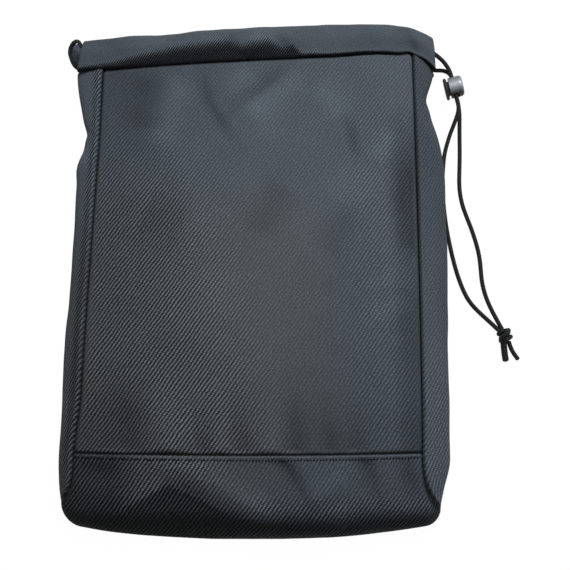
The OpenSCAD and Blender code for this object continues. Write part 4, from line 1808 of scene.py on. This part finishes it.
@dataclass
class Topstitch:
    """A row of stitches laid on a formed sheet."""

    name: str
    length: float = 1.3
    gap: float = 0.8
    thickness: float = 1.1
    proud: float = 0.2

    def build(self, places: Array, outward: Array) -> bpy.types.Object:
        """Lays stitches along a line of places.

        Args:
            places: points on the cloth, in millimetres.
            outward: the cloth's outward direction at each.

        Returns:
            The row as one piece.
        """
        knots = arc_lengths(places)
        bm = bmesh.new()
        for start in np.arange(self.gap, knots[-1] - self.length, self.length + self.gap):
            middle = start + self.length / 2
            at = Vector(at_lengths(places, knots, middle))
            up = Vector(at_lengths(outward, knots, middle)).normalized()
            ahead = Vector(at_lengths(places, knots, start + self.length)) - at
            ahead = (ahead - up * ahead.dot(up)).normalized()
            turn = Matrix((ahead, up.cross(ahead), up)).transposed().to_4x4()
            size = Matrix.Diagonal((self.length / 2, self.thickness / 2, self.thickness / 2, 1.0))
            move = Matrix.Translation((at + up * self.thickness * self.proud) * MM)
            place = move @ turn @ size @ Matrix.Scale(MM, 4)
            bmesh.ops.create_uvsphere(bm, u_segments=8, v_segments=6, radius=1.0, matrix=place)
        return dress(finish_mesh(self.name, bm), ThreadFinish(), Body.BAG, Slot.TAPE)


# The studio


@dataclass
class Studio:
    """Camera, floor and soft light."""

    target: Point = (23.0, -12.5, 0.0)
    distance: float = 584.0
    tip: float = 14.2
    lens: float = 50.0
    sky: float = 0.09
    floor_half: float = 4000.0
    floor_drop: float = 0.3
    floor_grey: float = 0.5
    backdrop: float = 0.92
    backdrop_glow: float = 1.07
    lamp_at: Point = (300.0, 440.0, 780.0)
    lamp_size: float = 500.0
    lamp_power: float = 7.9

    def camera(self) -> None:
        """Stands the camera over the bag, tipped back from straight down."""
        made = bpy.data.cameras.new("camera")
        made.lens, made.sensor_width = self.lens, 36.0
        made.clip_start, made.clip_end = 0.01, 20.0
        eye = add_object("camera", made)
        tip = math.radians(self.tip)
        back = Vector((0, -math.sin(tip), math.cos(tip)))
        eye.location = (Vector(self.target) + back * self.distance) * MM
        eye.rotation_euler = (tip, 0, 0)
        bpy.context.scene.camera = eye

    @staticmethod
    def seen(sheet: NodeSheet) -> Value:
        """Tells what is seen, straight, mirrored or through glass, from what lights the bag.

        Args:
            sheet: the nodes of the floor or the sky.

        Returns:
            1 for what is seen and 0 for light.
        """
        path = sheet.node("ShaderNodeLightPath", out="Is Camera Ray")
        seen = path + path.output("Is Glossy Ray") + path.output("Is Transmission Ray")
        return seen.math("MINIMUM", 1.0)

    def floor(self) -> None:
        """A plain white floor that keeps the bag's shadow."""
        bm = bmesh.new()
        bmesh.ops.create_grid(bm, x_segments=1, y_segments=1, size=self.floor_half * MM)
        made = finish_mesh("floor", bm)
        made.location.z = -self.floor_drop * MM
        paint = bpy.data.materials.new("floor")
        paint.use_nodes = True
        sheet = NodeSheet(paint.node_tree)
        matte = sheet.node("ShaderNodeBsdfDiffuse", None, {"Color": (*[self.floor_grey] * 3, 1.0)})
        glow = sheet.node("ShaderNodeEmission", None, {"Color": WHITE, "Strength": self.backdrop_glow})
        share = self.seen(sheet) * self.backdrop
        mixed = sheet.node("ShaderNodeMixShader", None, {0: share, 1: matte, 2: glow})
        sheet.node("ShaderNodeOutputMaterial", None, {"Surface": mixed})
        made.data.materials.append(paint)

    def light(self) -> None:
        """A white sky and one large soft lamp."""
        world = bpy.data.worlds.new("studio")
        bpy.context.scene.world = world
        world.use_nodes = True
        sheet = NodeSheet(world.node_tree)
        dim = sheet.node("ShaderNodeBackground", None, {"Color": WHITE, "Strength": self.sky})
        white = sheet.node("ShaderNodeBackground", None, {"Color": WHITE, "Strength": 1.0})
        mixed = sheet.node("ShaderNodeMixShader", None, {0: self.seen(sheet), 1: dim, 2: white})
        sheet.node("ShaderNodeOutputWorld", None, {"Surface": mixed})
        lamp = bpy.data.lights.new("key", "AREA")
        lamp.size, lamp.energy = self.lamp_size * MM, self.lamp_power
        made = add_object("key", lamp)
        made.location = Vector(self.lamp_at) * MM
        made.rotation_euler = (-made.location).to_track_quat("-Z", "Y").to_euler()

    def build(self) -> None:
        """Sets up the whole studio."""
        self.camera()
        self.floor()
        self.light()
        bpy.context.scene.view_settings.view_transform = "Standard"


LEFT_CREASES = (
    Crease([(8, 108), (22, 97), (44, 88)], -1.6, 4, 8),
    Crease([(6, 84), (26, 72), (46, 68)], 1.2, 8, 8),
    Crease([(22, 60), (20, -60)], -0.9, 7, 7),
)
RIGHT_CREASES = (
    Crease([(6, 134), (26, 127), (50, 124)], -1.8, 6, 8),
    Crease([(8, 112), (24, 96), (40, 70)], 1.4, 7, 8),
    Crease([(30, 6), (52, 2)], -1.3, 4, 5),
    Crease([(24, 60), (22, -20), (26, -90)], -1.2, 6, 7),
    Crease([(36, 40), (34, -60)], 0.9, 6, 6),
)
COLLAR_CREASES = (
    Crease([(-24, 12), (-14, 20), (-6, 29)], -1.9, 4, 5),
    Crease([(14, 14), (24, 20), (34, 28)], -1.7, 4, 5),
    Crease([(-4, 10), (4, 22)], 1.2, 7, 7),
    Crease([(112, 6), (118, 18), (126, 27)], -1.0, 5, 6),
)
# The last pair for each gusset is painted light at its top and at its foot.
GUSSETS = (
    Gusset(
        Side.LEFT,
        LEFT_CREASES,
        ridge=0.3,
        rib_contrast=0.08,
        strip=0.9,
        foot_rib_contrast=0.4,
        foot_tint=0.5,
        painted_light=(1.4, 1.3),
    ),
    Gusset(Side.RIGHT, RIGHT_CREASES, ridge=0.2, rib_contrast=0.14, foot_rib_contrast=0.2, painted_light=(0.74, 1.2)),
)


def main() -> None:
    """Builds the studio, the cord and the bag, piece by piece."""
    logging.basicConfig(level=logging.INFO, format="%(name)s: %(message)s")
    Studio().build()
    Drawcord().build(CordLock().build())
    FrontPanel().build()
    BackPanel().build()
    wrap = BaseWrap()
    wrap.build()
    for gusset in GUSSETS:
        gusset.build()
    Casing(True, COLLAR_CREASES).build()
    Casing(False, left_slant=(142.5, 136.5), left_round=17.0).build()
    for side in Side:
        for front in (True, False):
            Binding(side, front).build()
    Topstitch("band_topstitch").build(*wrap.hem_line)


if __name__ == "__main__":
    main()
